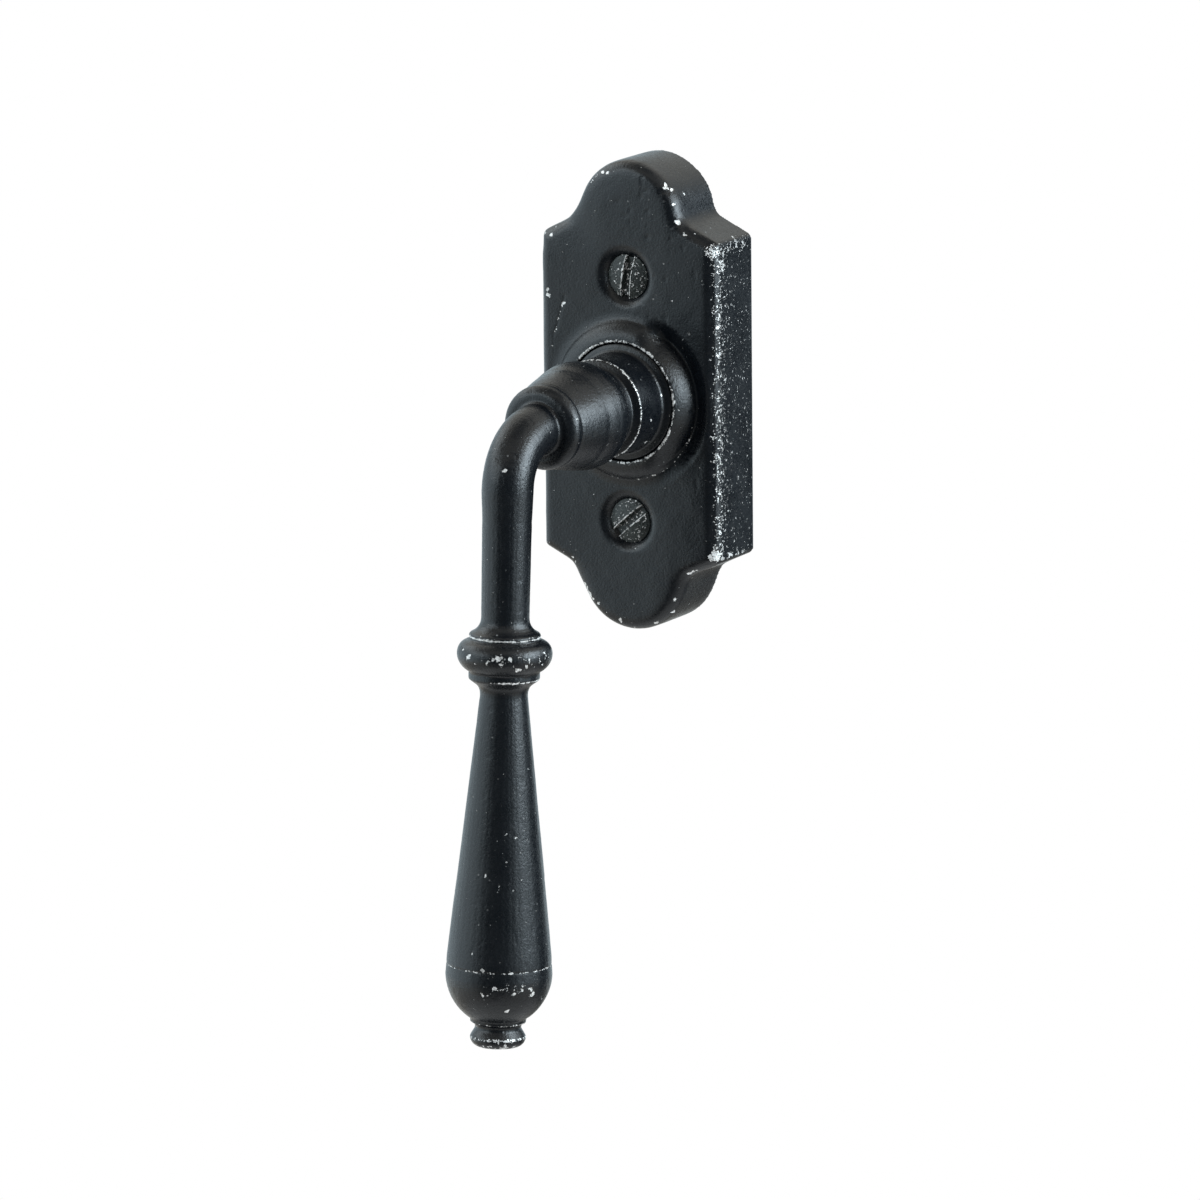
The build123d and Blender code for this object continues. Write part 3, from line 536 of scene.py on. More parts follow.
# Chips in the lever's coat: x, y, z, radius in mm and amount
LEVER_CHIPS = [
    (8.6, -16.2, 2.1, 0.35, 0.9), (8.6, -19.6, -1.6, 0.32, 0.95), (6.2, -17.5, -6.1, 0.5, 1.0),
    (5.3, -22.7, -6.9, 0.5, 1.0), (7.9, -18.6, -3.2, 0.25, 0.8), (-3.8, -31.4, 8.3, 0.3, 0.9),
    (-1.2, -31.6, 9.0, 0.25, 0.8), (7.0, -41.8, 2.2, 0.35, 1.0), (1.4, -56.5, -4.7, 0.4, 1.0),
    (3.8, -54.3, -4.5, 0.28, 0.8), (2.6, -52.2, 0.4, 0.25, 0.8), (-1.5, -49.5, 2.9, 0.25, 0.7),
    (4.8, -61.3, -35.6, 0.5, 1.0), (3.4, -62.2, -35.5, 0.45, 1.0), (2.4, -62.5, -35.9, 0.3, 0.9),
    (3.1, -62.0, -36.6, 0.35, 0.95), (5.7, -60.1, -37.8, 0.65, 1.0), (7.2, -58.6, -36.3, 0.35, 0.8),
    (6.8, -59.1, -37.2, 0.4, 0.85), (-2.5, -62.6, -35.9, 0.6, 1.0), (-0.8, -62.9, -36.9, 0.38, 1.0),
    (-4.2, -61.6, -35.0, 0.4, 1.0), (-5.0, -60.7, -36.1, 0.4, 0.9), (6.9, -57.0, -36.9, 0.45, 0.9),
    (7.9, -55.0, -35.6, 0.4, 0.9), (7.6, -55.6, -37.2, 0.35, 0.9), (3.8, -63.0, -68.4, 0.3, 0.9),
    (2.7, -63.1, -68.4, 0.3, 0.95), (5.3, -60.6, -66.8, 0.28, 0.9), (1.5, -64.3, -73.3, 0.35, 0.9),
    (0.1, -66.8, -86.4, 0.45, 1.0), (2.0, -66.9, -88.8, 0.3, 0.95), (4.1, -61.9, -56.0, 0.3, 0.9),
    (5.0, -61.2, -54.5, 0.25, 0.9), (5.6, -60.6, -57.0, 0.25, 0.85), (8.3, -61.2, -93.8, 0.5, 1.0),
    (8.4, -61.7, -92.8, 0.4, 0.9), (7.6, -63.2, -92.5, 0.45, 0.85), (4.0, -66.5, -91.9, 0.55, 0.8),
    (5.2, -65.8, -92.2, 0.5, 0.75), (5.2, -64.0, -96.4, 0.5, 0.95), (1.8, -67.0, -93.2, 0.35, 0.9),
    (3.0, -66.8, -93.4, 0.3, 0.9), (6.6, -64.3, -93.0, 0.5, 0.7), (6.9, -62.4, -95.0, 0.25, 0.7),
    (4.3, -60.9, -102.5, 0.5, 0.9), (2.4, -63.1, -102.6, 0.4, 0.9), (3.4, -62.1, -103.4, 0.4, 0.9),
]


# The direction down the grip's axis, from the neck's axis to the button
DOWN_GRIP = np.array((0, -sin(RAKE), -cos(RAKE)))


def lever_frame(points):
    """Distances along the grip's axis from its top, and out from that axis."""
    gap = points - (0, -REACH, 0)
    along = gap @ DOWN_GRIP
    return along, np.linalg.norm(gap - along[:, None] * DOWN_GRIP, axis=1)


# The ring's two flanges stand lower than the solid's, by these lengths down the grip
FLANGE_SLIPS = [(0.35, [(hump, "along", 33.4, 1.1)]), (0.50, [(hump, "along", 40.6, 1.3)])]

# Where the shank takes over from the neck, and where the marks end at the foot in the boss
HAND = [(ramp, "along", 5, 12)]
LEVER_MARKED = [(ramp, "y", -16.0, -17.5)]
NECK_MARKED = [(1, [(ramp, "axis", 5.6, 6.2)]), (1, [(ramp, "y", -25, -26)])]

# Hammer unevenness, finer ripples and pits, given as the rose's are
LEVER_RIPPLES = [(0.050, 9, 11), (0.020, 3.1, 12), (0.008, 0.9, 13)]
LEVER_PITS = (0.035, 1.3, 14, 0.55, 0.8)

# The neck's last ridge stands out by this much, with a groove beside it
NECK_RIDGES = [
    (0.10, [(ramp, "y", -33.6, -32.0), (ramp, "y", -29.6, -31.4)]),
    (-0.05, [(hump, "y", -34.0, 0.6)]),
]

# Lines where the coat is worn through: the drum's two edges on the neck, and on the grip the
# ring's flanges and its bulge, the line round the swell, the dome, and the button's edges
NECK_WEAR = [
    (0.52, [(hump, "y", -23.15, 0.12), (hump, "axis", 8.55, 0.4)]),
    (0.20, [(hump, "y", -15.9, 0.15), (hump, "axis", 9.45, 0.2)]),
]
GRIP_WEAR = [
    (0.90, [(hump, "along", 33.65, 0.14), (hump, "out", 6.1, 0.3)]),
    (0.60, [(hump, "along", 40.8, 0.16), (hump, "out", 6.08, 0.35), (ramp, "x", -2, 4)]),
    (0.20, [(hump, "along", 36.6, 1.6), (hump, "out", 8.1, 0.8), (ramp, "slant", 17, 22)]),
    (0.50, [(hump, "along", 90.1, 0.15)]),
    (0.22, [(hump, "along", 92.6, 1.2), (ramp, "x", 0, 4), (ramp, "y", -58, -61)]),
    (0.34, [(hump, "along", 100.3, 0.25), (hump, "out", 4.78, 0.3)]),
    (0.34, [(hump, "along", 102.8, 0.4), (hump, "out", 4.76, 0.3)]),
    (0.30, [(ramp, "along", 103.6, 104.0), (ramp, "out", 3.2, 3.8)]),
]
LEVER_EDGE_WEAR = 0.14
LEVER_EDGE_SPAN = (0.012, 0.05)
LEVER_WORN = [(ramp, "y", -15.3, -15.5)]

# Specks of dust, thicker on the grip's right, on the ring and on the dome
LEVER_BASE_SPECK = 0.10
GRIP_SPECK = [
    (0.22, [(ramp, "along", 45, 90), (ramp, "low_slant", 9, 14)]),
    (0.20, [(hump, "along", 36.6, 3)]),
    (0.15, [(hump, "along", 95, 5)]),
]


def make_lever():
    """The lever with its forging marks and its worn and chipped coat."""
    piece, points, edges = dense_copy("lever", "lever_forging", LEVER_CELL)
    along, _ = lever_frame(points)
    points = points + marks({"along": along}, FLANGE_SLIPS)[:, None] * DOWN_GRIP
    normals = surface_normals(piece.data, points)
    x, y, z = points.T
    along, out = lever_frame(points)
    places = {"x": x, "y": y, "axis": np.hypot(x, z), "along": along, "out": out,
              "slant": x - 0.3 * y, "low_slant": x - 0.2 * y}
    hand = share(places, HAND)
    neck = 1 - hand
    marked = np.maximum(hand, marks(places, NECK_MARKED)) * share(places, LEVER_MARKED)
    marked = np.clip(marked, 0, 1)

    edge = smoothed(arris(points, normals, edges, EDGE_ROUNDS), edges, EDGE_EVENING)
    wear = BASE_WEAR + neck * marks(places, NECK_WEAR) + hand * marks(places, GRIP_WEAR)
    wear += LEVER_EDGE_WEAR * ramp(edge, *LEVER_EDGE_SPAN) * marked
    wear = add_chips(wear, points, LEVER_CHIPS) * share(places, LEVER_WORN)
    lift = layered_noise(points, LEVER_RIPPLES) - patches(points, *LEVER_PITS)
    lift += neck * marks(places, NECK_RIDGES) - COAT_DEPTH * ramp(wear, *COAT_LOSS)
    lift *= marked

    finish_piece(piece, points + lift[:, None] * normals, wear,
                 speck=LEVER_BASE_SPECK + hand * marks(places, GRIP_SPECK), coarse=0 * wear)
    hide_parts("lever")
    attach(piece, "handle")
    return piece


# ---------- fixing screws ----------

# Rolled threads on the free ends, in mm. They come to their depth between these distances behind
# the wall plane, and between these radii
THREAD_SPAN = (10.3, 11.1)
THREAD_PITCH = 0.8
THREAD_DEPTH = 0.42
THREAD_RADII = (1.2, 1.9)

# Distances from the wall where the heads' marks start and are full, and where their wear starts
HEAD_SPAN = (12.2, 12.6)
HEAD_WORN_FROM = 11

# The slots' angles, the upper one's first, and half their width
SLOT_ANGLES = (radians(81), radians(40))
SLOT_HALF = 0.625

# The slot's walls are spread, up to this far from its middle line. A burr stands along each lip,
# from this distance from the wall on. Both stop short of the head's rim
SPREAD = 0.17
SPREAD_SPAN = (SLOT_HALF + 0.7, SLOT_HALF + 0.02)
LIP_HEIGHT = 0.06
LIP_MIDDLE = SLOT_HALF + 0.10
LIP_WIDTH = 0.14
LIP_SPAN = (12.1, 12.4)
RIM_WIDTH = 0.15

# Turning rings: height and pitch, the noise that bends them as its amount, size and seed, and
# the patches where they are left. Then the torn skin's noises
RING_HEIGHT = 0.020
RING_PITCH = 0.62
RING_BEND = [(0.8, 1.6, 21)]
RING_LEFT = (1, 1.1, 22, -0.4, 0.5)
SKIN = [(0.030, 0.55, 23), (0.014, 0.3, 24)]

# Wear of the whole head, of its edges, its lips and its rings, and the darker dirt in its slot
HEAD_WEAR = 0.20
HEAD_EDGE_WEAR = 0.10
HEAD_EDGE_SPAN = (0.015, 0.05)
HEAD_EDGE_ROUNDS = 8
HEAD_EDGE_EVENING = 1
LIP_WEAR = 0.50
RING_WEAR = 0.08
DIRT_WEAR = 0.36
DIRT = [(0.10, 0.5, 25)]
HEAD_SPECK = 0.6


def make_screws():
    """Both fixing screws with their threads, turning rings, torn skin and burred slots."""
    piece, points, edges = dense_copy("fixing_screws", "fixing_screw_bodies", SCREW_CELL)
    x, y, z = points.T
    normals = surface_normals(piece.data, points)
    edge = smoothed(arris(points, normals, edges, HEAD_EDGE_ROUNDS), edges, HEAD_EDGE_EVENING)
    upper = z > 0
    height = z - np.where(upper, SCREW_HEIGHT, -SCREW_HEIGHT)
    radius = np.hypot(x, height)
    head = ramp(-y, *HEAD_SPAN)

    # Threads
    turn = y / THREAD_PITCH - np.arctan2(height, x) / (2 * pi)
    groove = 0.5 - 0.5 * np.cos(2 * pi * turn)
    cut = THREAD_DEPTH * groove * ramp(y, *THREAD_SPAN) * ramp(radius, *THREAD_RADII)
    inward = np.stack((-x, 0 * x, -height), 1) / np.maximum(radius, 0.1)[:, None]

    # Rings and torn skin of the heads
    rings = np.sin(2 * pi * radius / RING_PITCH + layered_noise(points, RING_BEND))
    skin = RING_HEIGHT * rings * patches(points, *RING_LEFT) + layered_noise(points, SKIN)

    # Slots, by the distance across from the slot's middle line
    slot = np.where(upper, *SLOT_ANGLES)
    across = height * np.cos(slot) - x * np.sin(slot)
    outward = np.stack((-np.sin(slot), 0 * x, np.cos(slot)), 1) * np.sign(across)[:, None]
    across = np.abs(across)
    inner = head * (radius < SCREW_HEAD - RIM_WIDTH)
    spread = SPREAD * inner * ramp(across, *SPREAD_SPAN)
    lip = inner * hump(across, LIP_MIDDLE, LIP_WIDTH) * ramp(-y, *LIP_SPAN)
    points = points + cut[:, None] * inward + (head * skin)[:, None] * normals
    points = points + spread[:, None] * outward + (LIP_HEIGHT * lip)[:, None] * np.array((0, -1, 0))

    wear = HEAD_WEAR + HEAD_EDGE_WEAR * ramp(edge, *HEAD_EDGE_SPAN) * inner
    wear += LIP_WEAR * lip + RING_WEAR * head * rings
    dirty = (across < SLOT_HALF) & (radius < SCREW_HEAD)
    wear = np.where(dirty, DIRT_WEAR + layered_noise(points, DIRT), wear)
    finish_piece(piece, points, np.where(-y > HEAD_WORN_FROM, wear, 0), HEAD_SPECK * head, head)
    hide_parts("fixing_screws")
    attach(piece, "fixed_rose")
    return piece


# ---------- shader nodes ----------

def add_node(tree, kind, inputs=None, **settings):
    """A shader node with its settings. Each input is a value or another node's socket."""
    node = tree.nodes.new("ShaderNode" + kind)
    for name, value in settings.items():
        setattr(node, name, value)
    for name, value in (inputs or {}).items():
        if isinstance(value, bpy.types.NodeSocket):
            tree.links.new(value, node.inputs[name])
        else:
            node.inputs[name].default_value = value
    return node


def calc(tree, operation, first, *others, clamp=False):
    """A sum, product, difference or the like of two or more values, taken in their order."""
    for other in others:
        node = add_node(tree, "Math", {0: first, 1: other}, operation=operation, use_clamp=clamp)
        first = node.outputs[0]
    return first


def noise(tree, place, size, detail=2.0, rough=0.5):
    """Noise with blobs of about the size, in metres."""
    inputs = {"Vector": place, "Scale": 1 / size, "Detail": detail, "Roughness": rough}
    return add_node(tree, "TexNoise", inputs).outputs[0]


def span(tree, value, low, high, to_low=0.0, to_high=1.0):
    """Maps low..high to to_low..to_high, held at its ends."""
    inputs = {"Value": value, "From Min": low, "From Max": high, "To Min": to_low, "To Max": to_high}
    return add_node(tree, "MapRange", inputs, interpolation_type="SMOOTHSTEP").outputs[0]


def mix_colours(tree, factor, first, second, blend_type="MIX"):
    """Mixes two colours, or multiplies them where the blend type says so."""
    node = add_node(tree, "Mix", data_type="RGBA", blend_type=blend_type)
    for index, value in ((0, factor), (6, first), (7, second)):
        if isinstance(value, bpy.types.NodeSocket):
            tree.links.new(value, node.inputs[index])
        else:
            node.inputs[index].default_value = value
    return node.outputs[2]


def new_material(name):
    """A material with its node tree, its shader and the place on the object that nodes start from."""
    material = bpy.data.materials.new(name)
    material.use_nodes = True
    tree = material.node_tree
    place = add_node(tree, "TexCoord").outputs["Object"]
    return material, tree, tree.nodes["Principled BSDF"], place


def relief(tree, height, depth):
    """Fine relief too small for the mesh. The depth is in metres."""
    return add_node(tree, "Bump", {"Height": height, "Strength": 1.0, "Distance": depth}).outputs[0]


# ---------- materials ----------

# The forging's coat and the screws', each from its darker to its lighter tint, and their dust
FORGING_COAT = ((0.0010, 0.0022, 0.0040, 1), (0.0024, 0.0038, 0.0058, 1))
FORGING_DUST = (0.24, 0.245, 0.24, 1)
SCREW_COAT = ((0.006, 0.009, 0.008, 1), (0.015, 0.021, 0.019, 1))
SCREW_DUST = (0.34, 0.39, 0.36, 1)
# Pale bare metal, which on the rose's right arris also paints the lamp's glints
BARE_AND_GLINT = (0.86, 0.86, 0.84, 1)
BARE_DULL = (0.42, 0.42, 0.40, 1)
# A near-black for a ring round the worn patches
DARK_RING = (0.0004, 0.0005, 0.0008, 1)

# Sizes in metres of the coat's clouds and of the two noises that make a worn edge ragged, and
# how far these two move the wear. The second does it by more where the coat is coarse
CLOUD = 0.006
RAGGED = 0.0008
TORN = 0.0003
RAGGED_SHARE = 1.4
TORN_SHARE = 1.0
TORN_MORE = 0.9

# The relief's depth in metres, and shares of it: the grain's height, what that loses where the
# coat is coarse, how much lower bare metal lies, and how much higher specks lie
COAT_RELIEF = 0.00007
GRAIN_HEIGHT = 0.9
COARSE_LOSS = 0.5
BARE_DROP = 0.6
SPECK_RISE = 0.5

# The rise in roughness on specks, on the dark rings round worn patches and on coarse coat
DULLER = 0.22

# The wear where a dark ring round the worn patches starts and is full, and where the metal is bare
DARK_RING_SPAN = (0.36, 0.48)
BARE_SPAN = (0.50, 0.57)
BARE_METALLIC = 0.35

# Specks of dust: their radius in cells, how much larger some are, and the share of cells with one
SPECK_RADIUS = 0.06
SPECK_SPREAD = 0.22
SPECK_SHARE = 0.30


def coated(name, tints, dust, grain, roughness, speck_size, chalky):
    """A black coat that wear has broken through where the mesh's wear value is high, and which also
    paints the lamp's glints as pale metal on the rose's right arris.
    """
    material, tree, shader, place = new_material(name)
    wear = add_node(tree, "Attribute", attribute_name="wear").outputs["Fac"]
    speck = add_node(tree, "Attribute", attribute_name="speck").outputs["Fac"]
    coarse = add_node(tree, "Attribute", attribute_name="coarse").outputs["Fac"]
    fine = noise(tree, place, grain, 3.0, 0.6)
    cloud = noise(tree, place, CLOUD, 3.0, 0.6)
    ragged = calc(tree, "SUBTRACT", noise(tree, place, RAGGED, 2.0, 0.6), 0.5)
    torn = calc(tree, "SUBTRACT", noise(tree, place, TORN, 2.0, 0.6), 0.5)

    # Bare metal where the wear and two ragged noises together pass a threshold; on the rose's right
    # arris this pale metal also paints the lamp's glints
    torn_share = calc(tree, "ADD", calc(tree, "MULTIPLY", coarse, TORN_MORE), TORN_SHARE)
    rough_edge = calc(tree, "ADD", calc(tree, "MULTIPLY", ragged, RAGGED_SHARE),
                      calc(tree, "MULTIPLY", torn, torn_share))
    level = calc(tree, "ADD", wear, rough_edge)
    bare_and_glint = span(tree, level, *BARE_SPAN)
    # A near-black, duller ring round the bare metal, where the wear is just short of it
    dark_ring = calc(tree, "SUBTRACT", span(tree, level, *DARK_RING_SPAN), bare_and_glint, clamp=True)

    # Small pale specks of dust and pinholes, in random cells
    cells = add_node(tree, "TexVoronoi", {"Vector": place, "Scale": 1 / speck_size})
    draws = add_node(tree, "SeparateColor", {0: cells.outputs["Color"]}).outputs
    radius = calc(tree, "ADD", calc(tree, "MULTIPLY", draws[1], SPECK_SPREAD), SPECK_RADIUS)
    inside = calc(tree, "LESS_THAN", cells.outputs["Distance"], radius)
    picked = calc(tree, "LESS_THAN", draws[0], calc(tree, "MULTIPLY", speck, SPECK_SHARE))
    spot = calc(tree, "MULTIPLY", inside, picked, calc(tree, "POWER", draws[2], 2.0))
    chalk = calc(tree, "MULTIPLY", span(tree, torn, 0.02, 0.22), coarse, chalky)

    colour = mix_colours(tree, span(tree, cloud, 0.3, 0.7), *tints)
    colour = mix_colours(tree, chalk, colour, dust)
    colour = mix_colours(tree, spot, colour, dust)
    colour = mix_colours(tree, dark_ring, colour, DARK_RING)
    metal = mix_colours(tree, span(tree, fine, 0.35, 0.6), BARE_DULL, BARE_AND_GLINT)
    colour = mix_colours(tree, bare_and_glint, colour, metal)
    tree.links.new(colour, shader.inputs["Base Color"])
    tree.links.new(calc(tree, "MULTIPLY", bare_and_glint, BARE_METALLIC), shader.inputs["Metallic"])

    # Specks, the dark rings round worn patches and the coarse coat are duller than the rest
    uneven = calc(tree, "ADD", span(tree, fine, 0.3, 0.7, roughness - 0.05, roughness + 0.07),
                  span(tree, cloud, 0.3, 0.7, -0.03, 0.03))
    dull = calc(tree, "ADD", spot, dark_ring, calc(tree, "MULTIPLY", coarse, chalky))
    dull = calc(tree, "MULTIPLY", dull, DULLER)
    tree.links.new(calc(tree, "ADD", uneven, dull), shader.inputs["Roughness"])

    height = calc(tree, "SUBTRACT", GRAIN_HEIGHT, calc(tree, "MULTIPLY", coarse, COARSE_LOSS))
    height = calc(tree, "MULTIPLY", fine, height)
    height = calc(tree, "SUBTRACT", height, calc(tree, "MULTIPLY", bare_and_glint, BARE_DROP))
    height = calc(tree, "ADD", height, calc(tree, "MULTIPLY", spot, SPECK_RISE))
    tree.links.new(relief(tree, height, COAT_RELIEF), shader.inputs["Normal"])
    return material


def plain_metal(name, colour, tint, roughness, metallic, grain, stretch, depth):
    """A metal with a cloudy tint, a fine drawn or cast grain and uneven gloss."""
    material, tree, shader, place = new_material(name)
    drawn = add_node(tree, "Mapping", {"Vector": place, "Scale": stretch}).outputs[0]
    fine = noise(tree, drawn, grain, 4.0, 0.6)
    cloud = noise(tree, place, 0.005, 3.0, 0.55)
    mixed = mix_colours(tree, span(tree, cloud, 0.35, 0.65), colour, tint)
    shaded = mix_colours(tree, 1, mixed, span(tree, fine, 0.2, 0.8, 0.8, 1.1), "MULTIPLY")
    tree.links.new(shaded, shader.inputs["Base Color"])
    shader.inputs["Metallic"].default_value = metallic
    gloss = span(tree, fine, 0.25, 0.75, roughness - 0.07, roughness + 0.1)
    tree.links.new(gloss, shader.inputs["Roughness"])
    tree.links.new(relief(tree, fine, depth), shader.inputs["Normal"])
    return material


def nylon():
    """White nylon that has yellowed a little in clouds."""
    material, tree, shader, place = new_material("white_nylon")
    fine = noise(tree, place, 0.00025, 3.0, 0.6)
    cloud = noise(tree, place, 0.004, 2.0, 0.5)
    colour = mix_colours(tree, span(tree, cloud, 0.3, 0.7), (0.80, 0.79, 0.74, 1), (0.70, 0.68, 0.61, 1))
    tree.links.new(colour, shader.inputs["Base Color"])
    tree.links.new(span(tree, fine, 0.3, 0.7, 0.38, 0.5), shader.inputs["Roughness"])
    shader.inputs["Subsurface Weight"].default_value = 0.15
    shader.inputs["Subsurface Radius"].default_value = (0.0008, 0.0007, 0.0006)
    tree.links.new(relief(tree, fine, 0.00001), shader.inputs["Normal"])
    return material


# Metals: name, two tints, roughness, metallic, grain in metres, its stretch, and relief in metres
METALS = [
    ("plated_steel", (0.46, 0.47, 0.48, 1), (0.44, 0.42, 0.37, 1), 0.27, 1.0,
     0.0004, (1, 1, 0.15), 0.000004),
    ("spring_steel", (0.30, 0.30, 0.31, 1), (0.20, 0.22, 0.27, 1), 0.27, 1.0,
     0.0003, (1, 0.3, 1), 0.000004),
    ("zinc_casting", (0.46, 0.47, 0.48, 1), (0.38, 0.38, 0.38, 1), 0.48, 0.9,
     0.0005, (1, 1, 1), 0.00002),
]

# The CAD nodes that each finish is on
NODE_FINISHES = {
    "black_forging": ("rose", "lever"),
    "black_screw": ("fixing_screws", "grub_screw"),
    "plated_steel": ("spindle", "thrust_washer", "detent_cover", "works_screws", "mounting_plate",
                     "plate_screws", "upper_lug", "lower_lug"),
    "spring_steel": ("spring_washer", "retaining_clip", "right_detent_spring", "left_detent_spring"),
    "zinc_casting": ("detent_housing",),
    "white_nylon": ("neck_bush", "friction_washer", "detent_cam"),
}


def dress(pieces):
    """Every piece and every CAD node gets its own kind of material."""
    finishes = {
        "black_forging": coated("black_forging", FORGING_COAT, FORGING_DUST, grain=0.00042,
                                roughness=0.29, speck_size=0.0007, chalky=0.05),
        "black_screw": coated("black_screw", SCREW_COAT, SCREW_DUST, grain=0.00022,
                              roughness=0.38, speck_size=0.0004, chalky=0.24),
    }
    for metal in METALS:
        finishes[metal[0]] = plain_metal(*metal)
    finishes["white_nylon"] = nylon()
    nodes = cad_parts
    items = [(nodes[name], finish) for finish, names in NODE_FINISHES.items() for name in names]
    for item, finish in items + pieces:
        item.data.materials.clear()
        item.data.materials.append(finishes[finish])


# ---------- studio ----------

COOL = (0.78, 0.91, 1.0)

# Softboxes, each facing the part: name, azimuth and elevation in degrees, distance, width and
# height in metres, and glow, which is the box's own brightness, where 1 is white
SOFTBOXES = [
    ("right_lamp", 98, 19, 0.452, 0.25, 0.28, 9.8),
    ("right_upper", 128, 20, 0.9, 0.36, 0.30, 5.5),
    ("right_softbox", 100, -6, 1.0, 0.90, 0.60, 0.25),
    ("front_softbox", -40, 23, 1.1, 1.10, 0.40, 1.9),
    ("left_softbox", -88, 34, 1.1, 0.80, 0.55, 1.5),
    ("left_fill", -68, -6, 1.2, 1.50, 0.80, 0.5),
]
AIMED_AT = Vector((0, -0.03, -0.03))


def add_softbox(name, azimuth, elevation, distance, width, height, glow):
    """A rectangular light that the camera doesn't see. Its energy follows from its glow and size."""
    away = toward(azimuth, elevation)
    data = bpy.data.lights.new(name, "AREA")
    data.shape = "RECTANGLE"
    data.size, data.size_y = width, height
    data.energy = glow * pi * width * height
    data.color = COOL
    light = bpy.data.objects.new(name, data)
    turn = away.to_track_quat("Z", "Y").to_matrix().to_4x4()
    light.matrix_world = Matrix.Translation(AIMED_AT + away * distance) @ turn
    light.visible_camera = False
    bpy.context.scene.collection.objects.link(light)


def dark_part(tree, direction, middle, *limits):
    """How dark the room is in a direction, by the cosine of its angle from the part's middle."""
    cosine = add_node(tree, "VectorMath", {0: direction, 1: middle}, operation="DOT_PRODUCT")
    return span(tree, cosine.outputs["Value"], *limits)


def seen_directly(tree):
    """1 for rays of the camera and rays through clear material, and 0 for all others."""
    ray = add_node(tree, "LightPath").outputs
    return calc(tree, "MAXIMUM", ray["Is Camera Ray"], ray["Is Transmission Ray"])


# The middles of the room's dark parts, the last a flag over the left of the camera, each with
# the two cosines where it starts and is full, and how dark it is at both unless 0 and 1
DARK_FRONT = (toward(24), 0.55, 0.90)
DARK_REAR = (toward(160), 0.55, 0.90, 0.0, 0.80)
DARK_SIDE = (toward(146), 0.91, 0.98, 0.0, 0.92)
FLAG = (toward(-46, 50), 0.93, 0.985, 0.0, 0.65)

# Two heights of the direction, from -1 to 1, and how dark the room is at both unless 0 and 1:
# the front, the rear, which is open in its middle and at its top, the roof and the underside
FRONT_HEIGHTS = (0.55, 0.80, 0.87, 0.35)
REAR_OVER_MIDDLE = (-0.10, 0.10)
REAR_UNDER_MIDDLE = (-0.50, -0.30, 1.0, 0.0)
REAR_TOP = (0.2, 0.5, 1.0, 0.0)
ROOF = (0.82, 0.96, 0.0, 0.75)
UNDERSIDE = (-0.85, -0.35, 0.70, 0.0)

# The room's colours at the sides and above and below, with the heights where they meet, and the
# plain light for all that isn't gloss
WARM_FROM = (0.15, 0.6)
ROOM_COOL = (0.76, 0.92, 1.0, 1)
ROOM_WARM = (1.0, 0.98, 0.90, 1)
PLAIN_LIGHT = (0.62, 0.63, 0.65, 1)
WHITE = (1, 1, 1, 1)


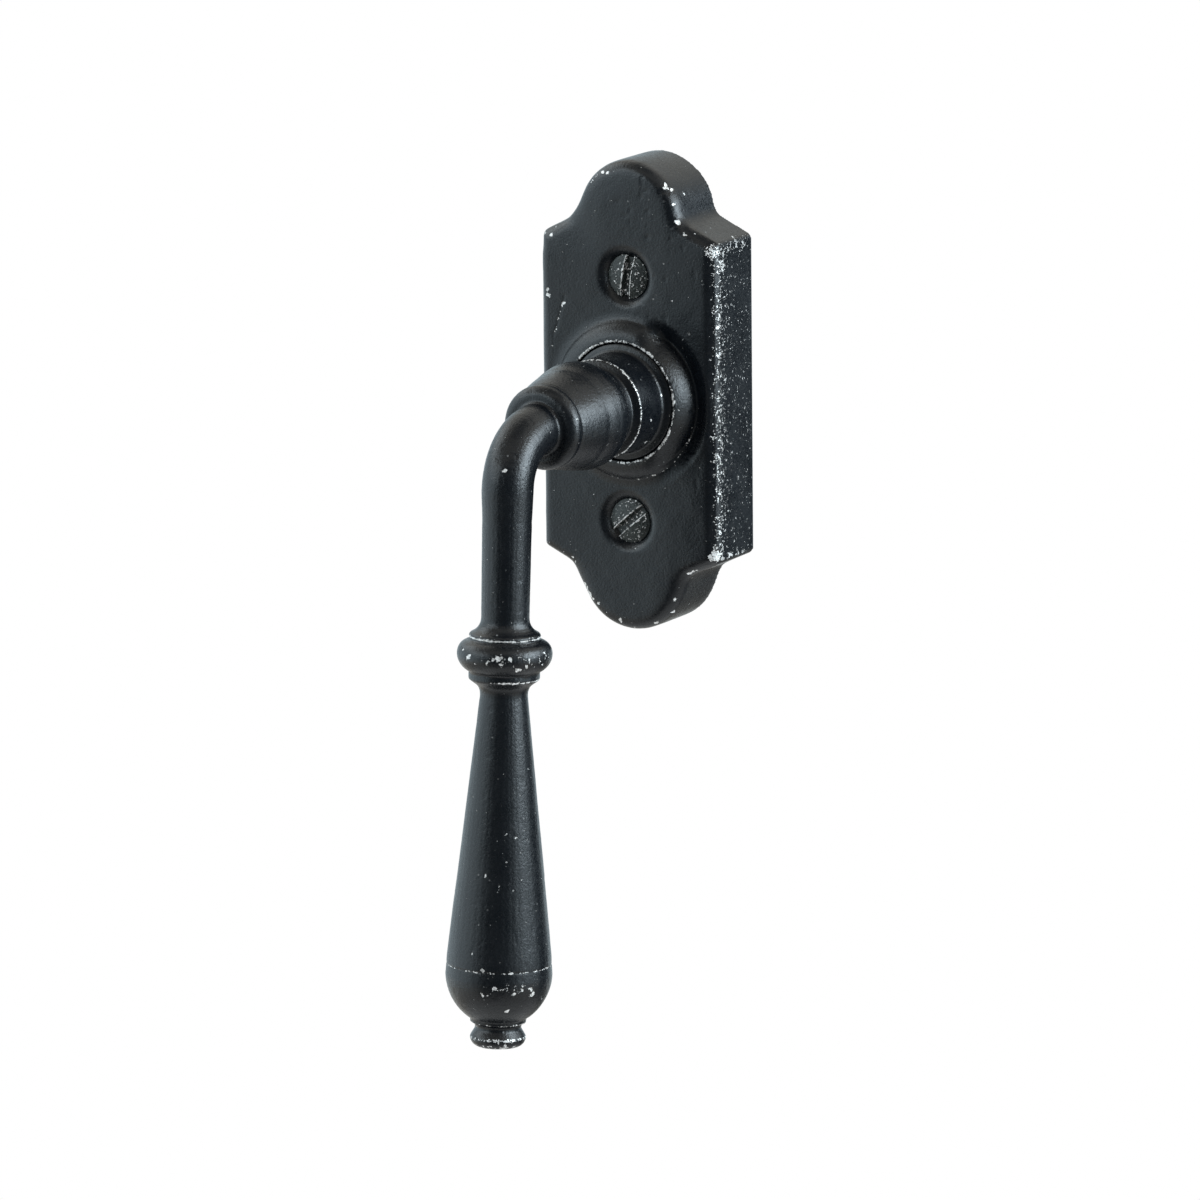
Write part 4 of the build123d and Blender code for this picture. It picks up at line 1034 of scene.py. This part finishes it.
def add_world():
    """White for the camera. For gloss it is a pale room with a dark front, rear, roof and floor,
    which black gloss needs for its contrast, and for everything else a plain level of light."""
    world = bpy.data.worlds.new("studio")
    bpy.context.scene.world = world
    world.use_nodes = True
    tree = world.node_tree
    background = tree.nodes["Background"]
    direction = add_node(tree, "TexCoord").outputs["Generated"]
    part = add_node(tree, "SeparateXYZ", {0: direction}).outputs
    height = part[2]
    level = add_node(tree, "CombineXYZ", {0: part[0], 1: part[1], 2: 0.0}).outputs[0]
    level = add_node(tree, "VectorMath", {0: level}, operation="NORMALIZE").outputs[0]

    # How dark the room is, from 0 to 1
    front = calc(tree, "MULTIPLY", dark_part(tree, level, *DARK_FRONT),
                 span(tree, height, *FRONT_HEIGHTS))
    off_middle = calc(tree, "ADD", span(tree, height, *REAR_OVER_MIDDLE),
                      span(tree, height, *REAR_UNDER_MIDDLE))
    wide = calc(tree, "MULTIPLY", dark_part(tree, level, *DARK_REAR), off_middle)
    rear = calc(tree, "MAXIMUM", wide, dark_part(tree, level, *DARK_SIDE))
    rear = calc(tree, "MULTIPLY", rear, span(tree, height, *REAR_TOP))
    flag = dark_part(tree, direction, *FLAG)
    roof = span(tree, height, *ROOF)
    under = span(tree, height, *UNDERSIDE)
    bright = calc(tree, "SUBTRACT", 1.0, calc(tree, "MAXIMUM", front, rear, roof, under, flag))

    # The room is cool at the sides and warm above and below
    steep = add_node(tree, "Math", {0: height}, operation="ABSOLUTE").outputs[0]
    room = mix_colours(tree, span(tree, steep, *WARM_FROM), ROOM_COOL, ROOM_WARM)
    room = mix_colours(tree, 1, room, bright, "MULTIPLY")
    glossy = add_node(tree, "LightPath").outputs["Is Glossy Ray"]
    colour = mix_colours(tree, glossy, PLAIN_LIGHT, room)
    colour = mix_colours(tree, seen_directly(tree), colour, WHITE)
    tree.links.new(colour, background.inputs["Color"])
    background.inputs["Strength"].default_value = 1.0


# The floor, in metres, with its two tints and the share of plain white that the camera sees
FLOOR_LEVEL = -0.9
FLOOR_SIZE = 1.6
FLOOR_TINTS = ((0.86, 0.84, 0.80, 1), (0.90, 0.88, 0.85, 1))
FLOOR_WHITE = 0.85


def add_floor():
    """A plain pale floor under the handle, which hangs on its window above it."""
    half = FLOOR_SIZE / 2
    mesh = bpy.data.meshes.new("floor")
    turns = ((-1, -1), (1, -1), (1, 1), (-1, 1))
    corners = [(x * half, y * half, FLOOR_LEVEL) for x, y in turns]
    mesh.from_pydata(corners, [], [(0, 1, 2, 3)])
    floor = bpy.data.objects.new("floor", mesh)
    bpy.context.scene.collection.objects.link(floor)
    material, tree, shader, place = new_material("pale_floor")
    colour = mix_colours(tree, noise(tree, place, 0.4, 2.0, 0.5), *FLOOR_TINTS)
    tree.links.new(colour, shader.inputs["Base Color"])
    shader.inputs["Roughness"].default_value = 0.8
    shader.inputs["Specular IOR Level"].default_value = 0.2
    glow = add_node(tree, "Emission", {"Color": WHITE, "Strength": 1.0})
    both = add_node(tree, "MixShader", {0: calc(tree, "MULTIPLY", seen_directly(tree), FLOOR_WHITE)})
    tree.links.new(shader.outputs[0], both.inputs[1])
    tree.links.new(glow.outputs[0], both.inputs[2])
    tree.links.new(both.outputs[0], tree.nodes["Material Output"].inputs["Surface"])
    mesh.materials.append(material)


add_camera()
add_world()
add_floor()
for softbox in SOFTBOXES:
    add_softbox(*softbox)
bpy.context.scene.view_settings.view_transform = "Standard"

dress([(make_rose(), "black_forging"), (make_lever(), "black_forging"), (make_screws(), "black_screw")])
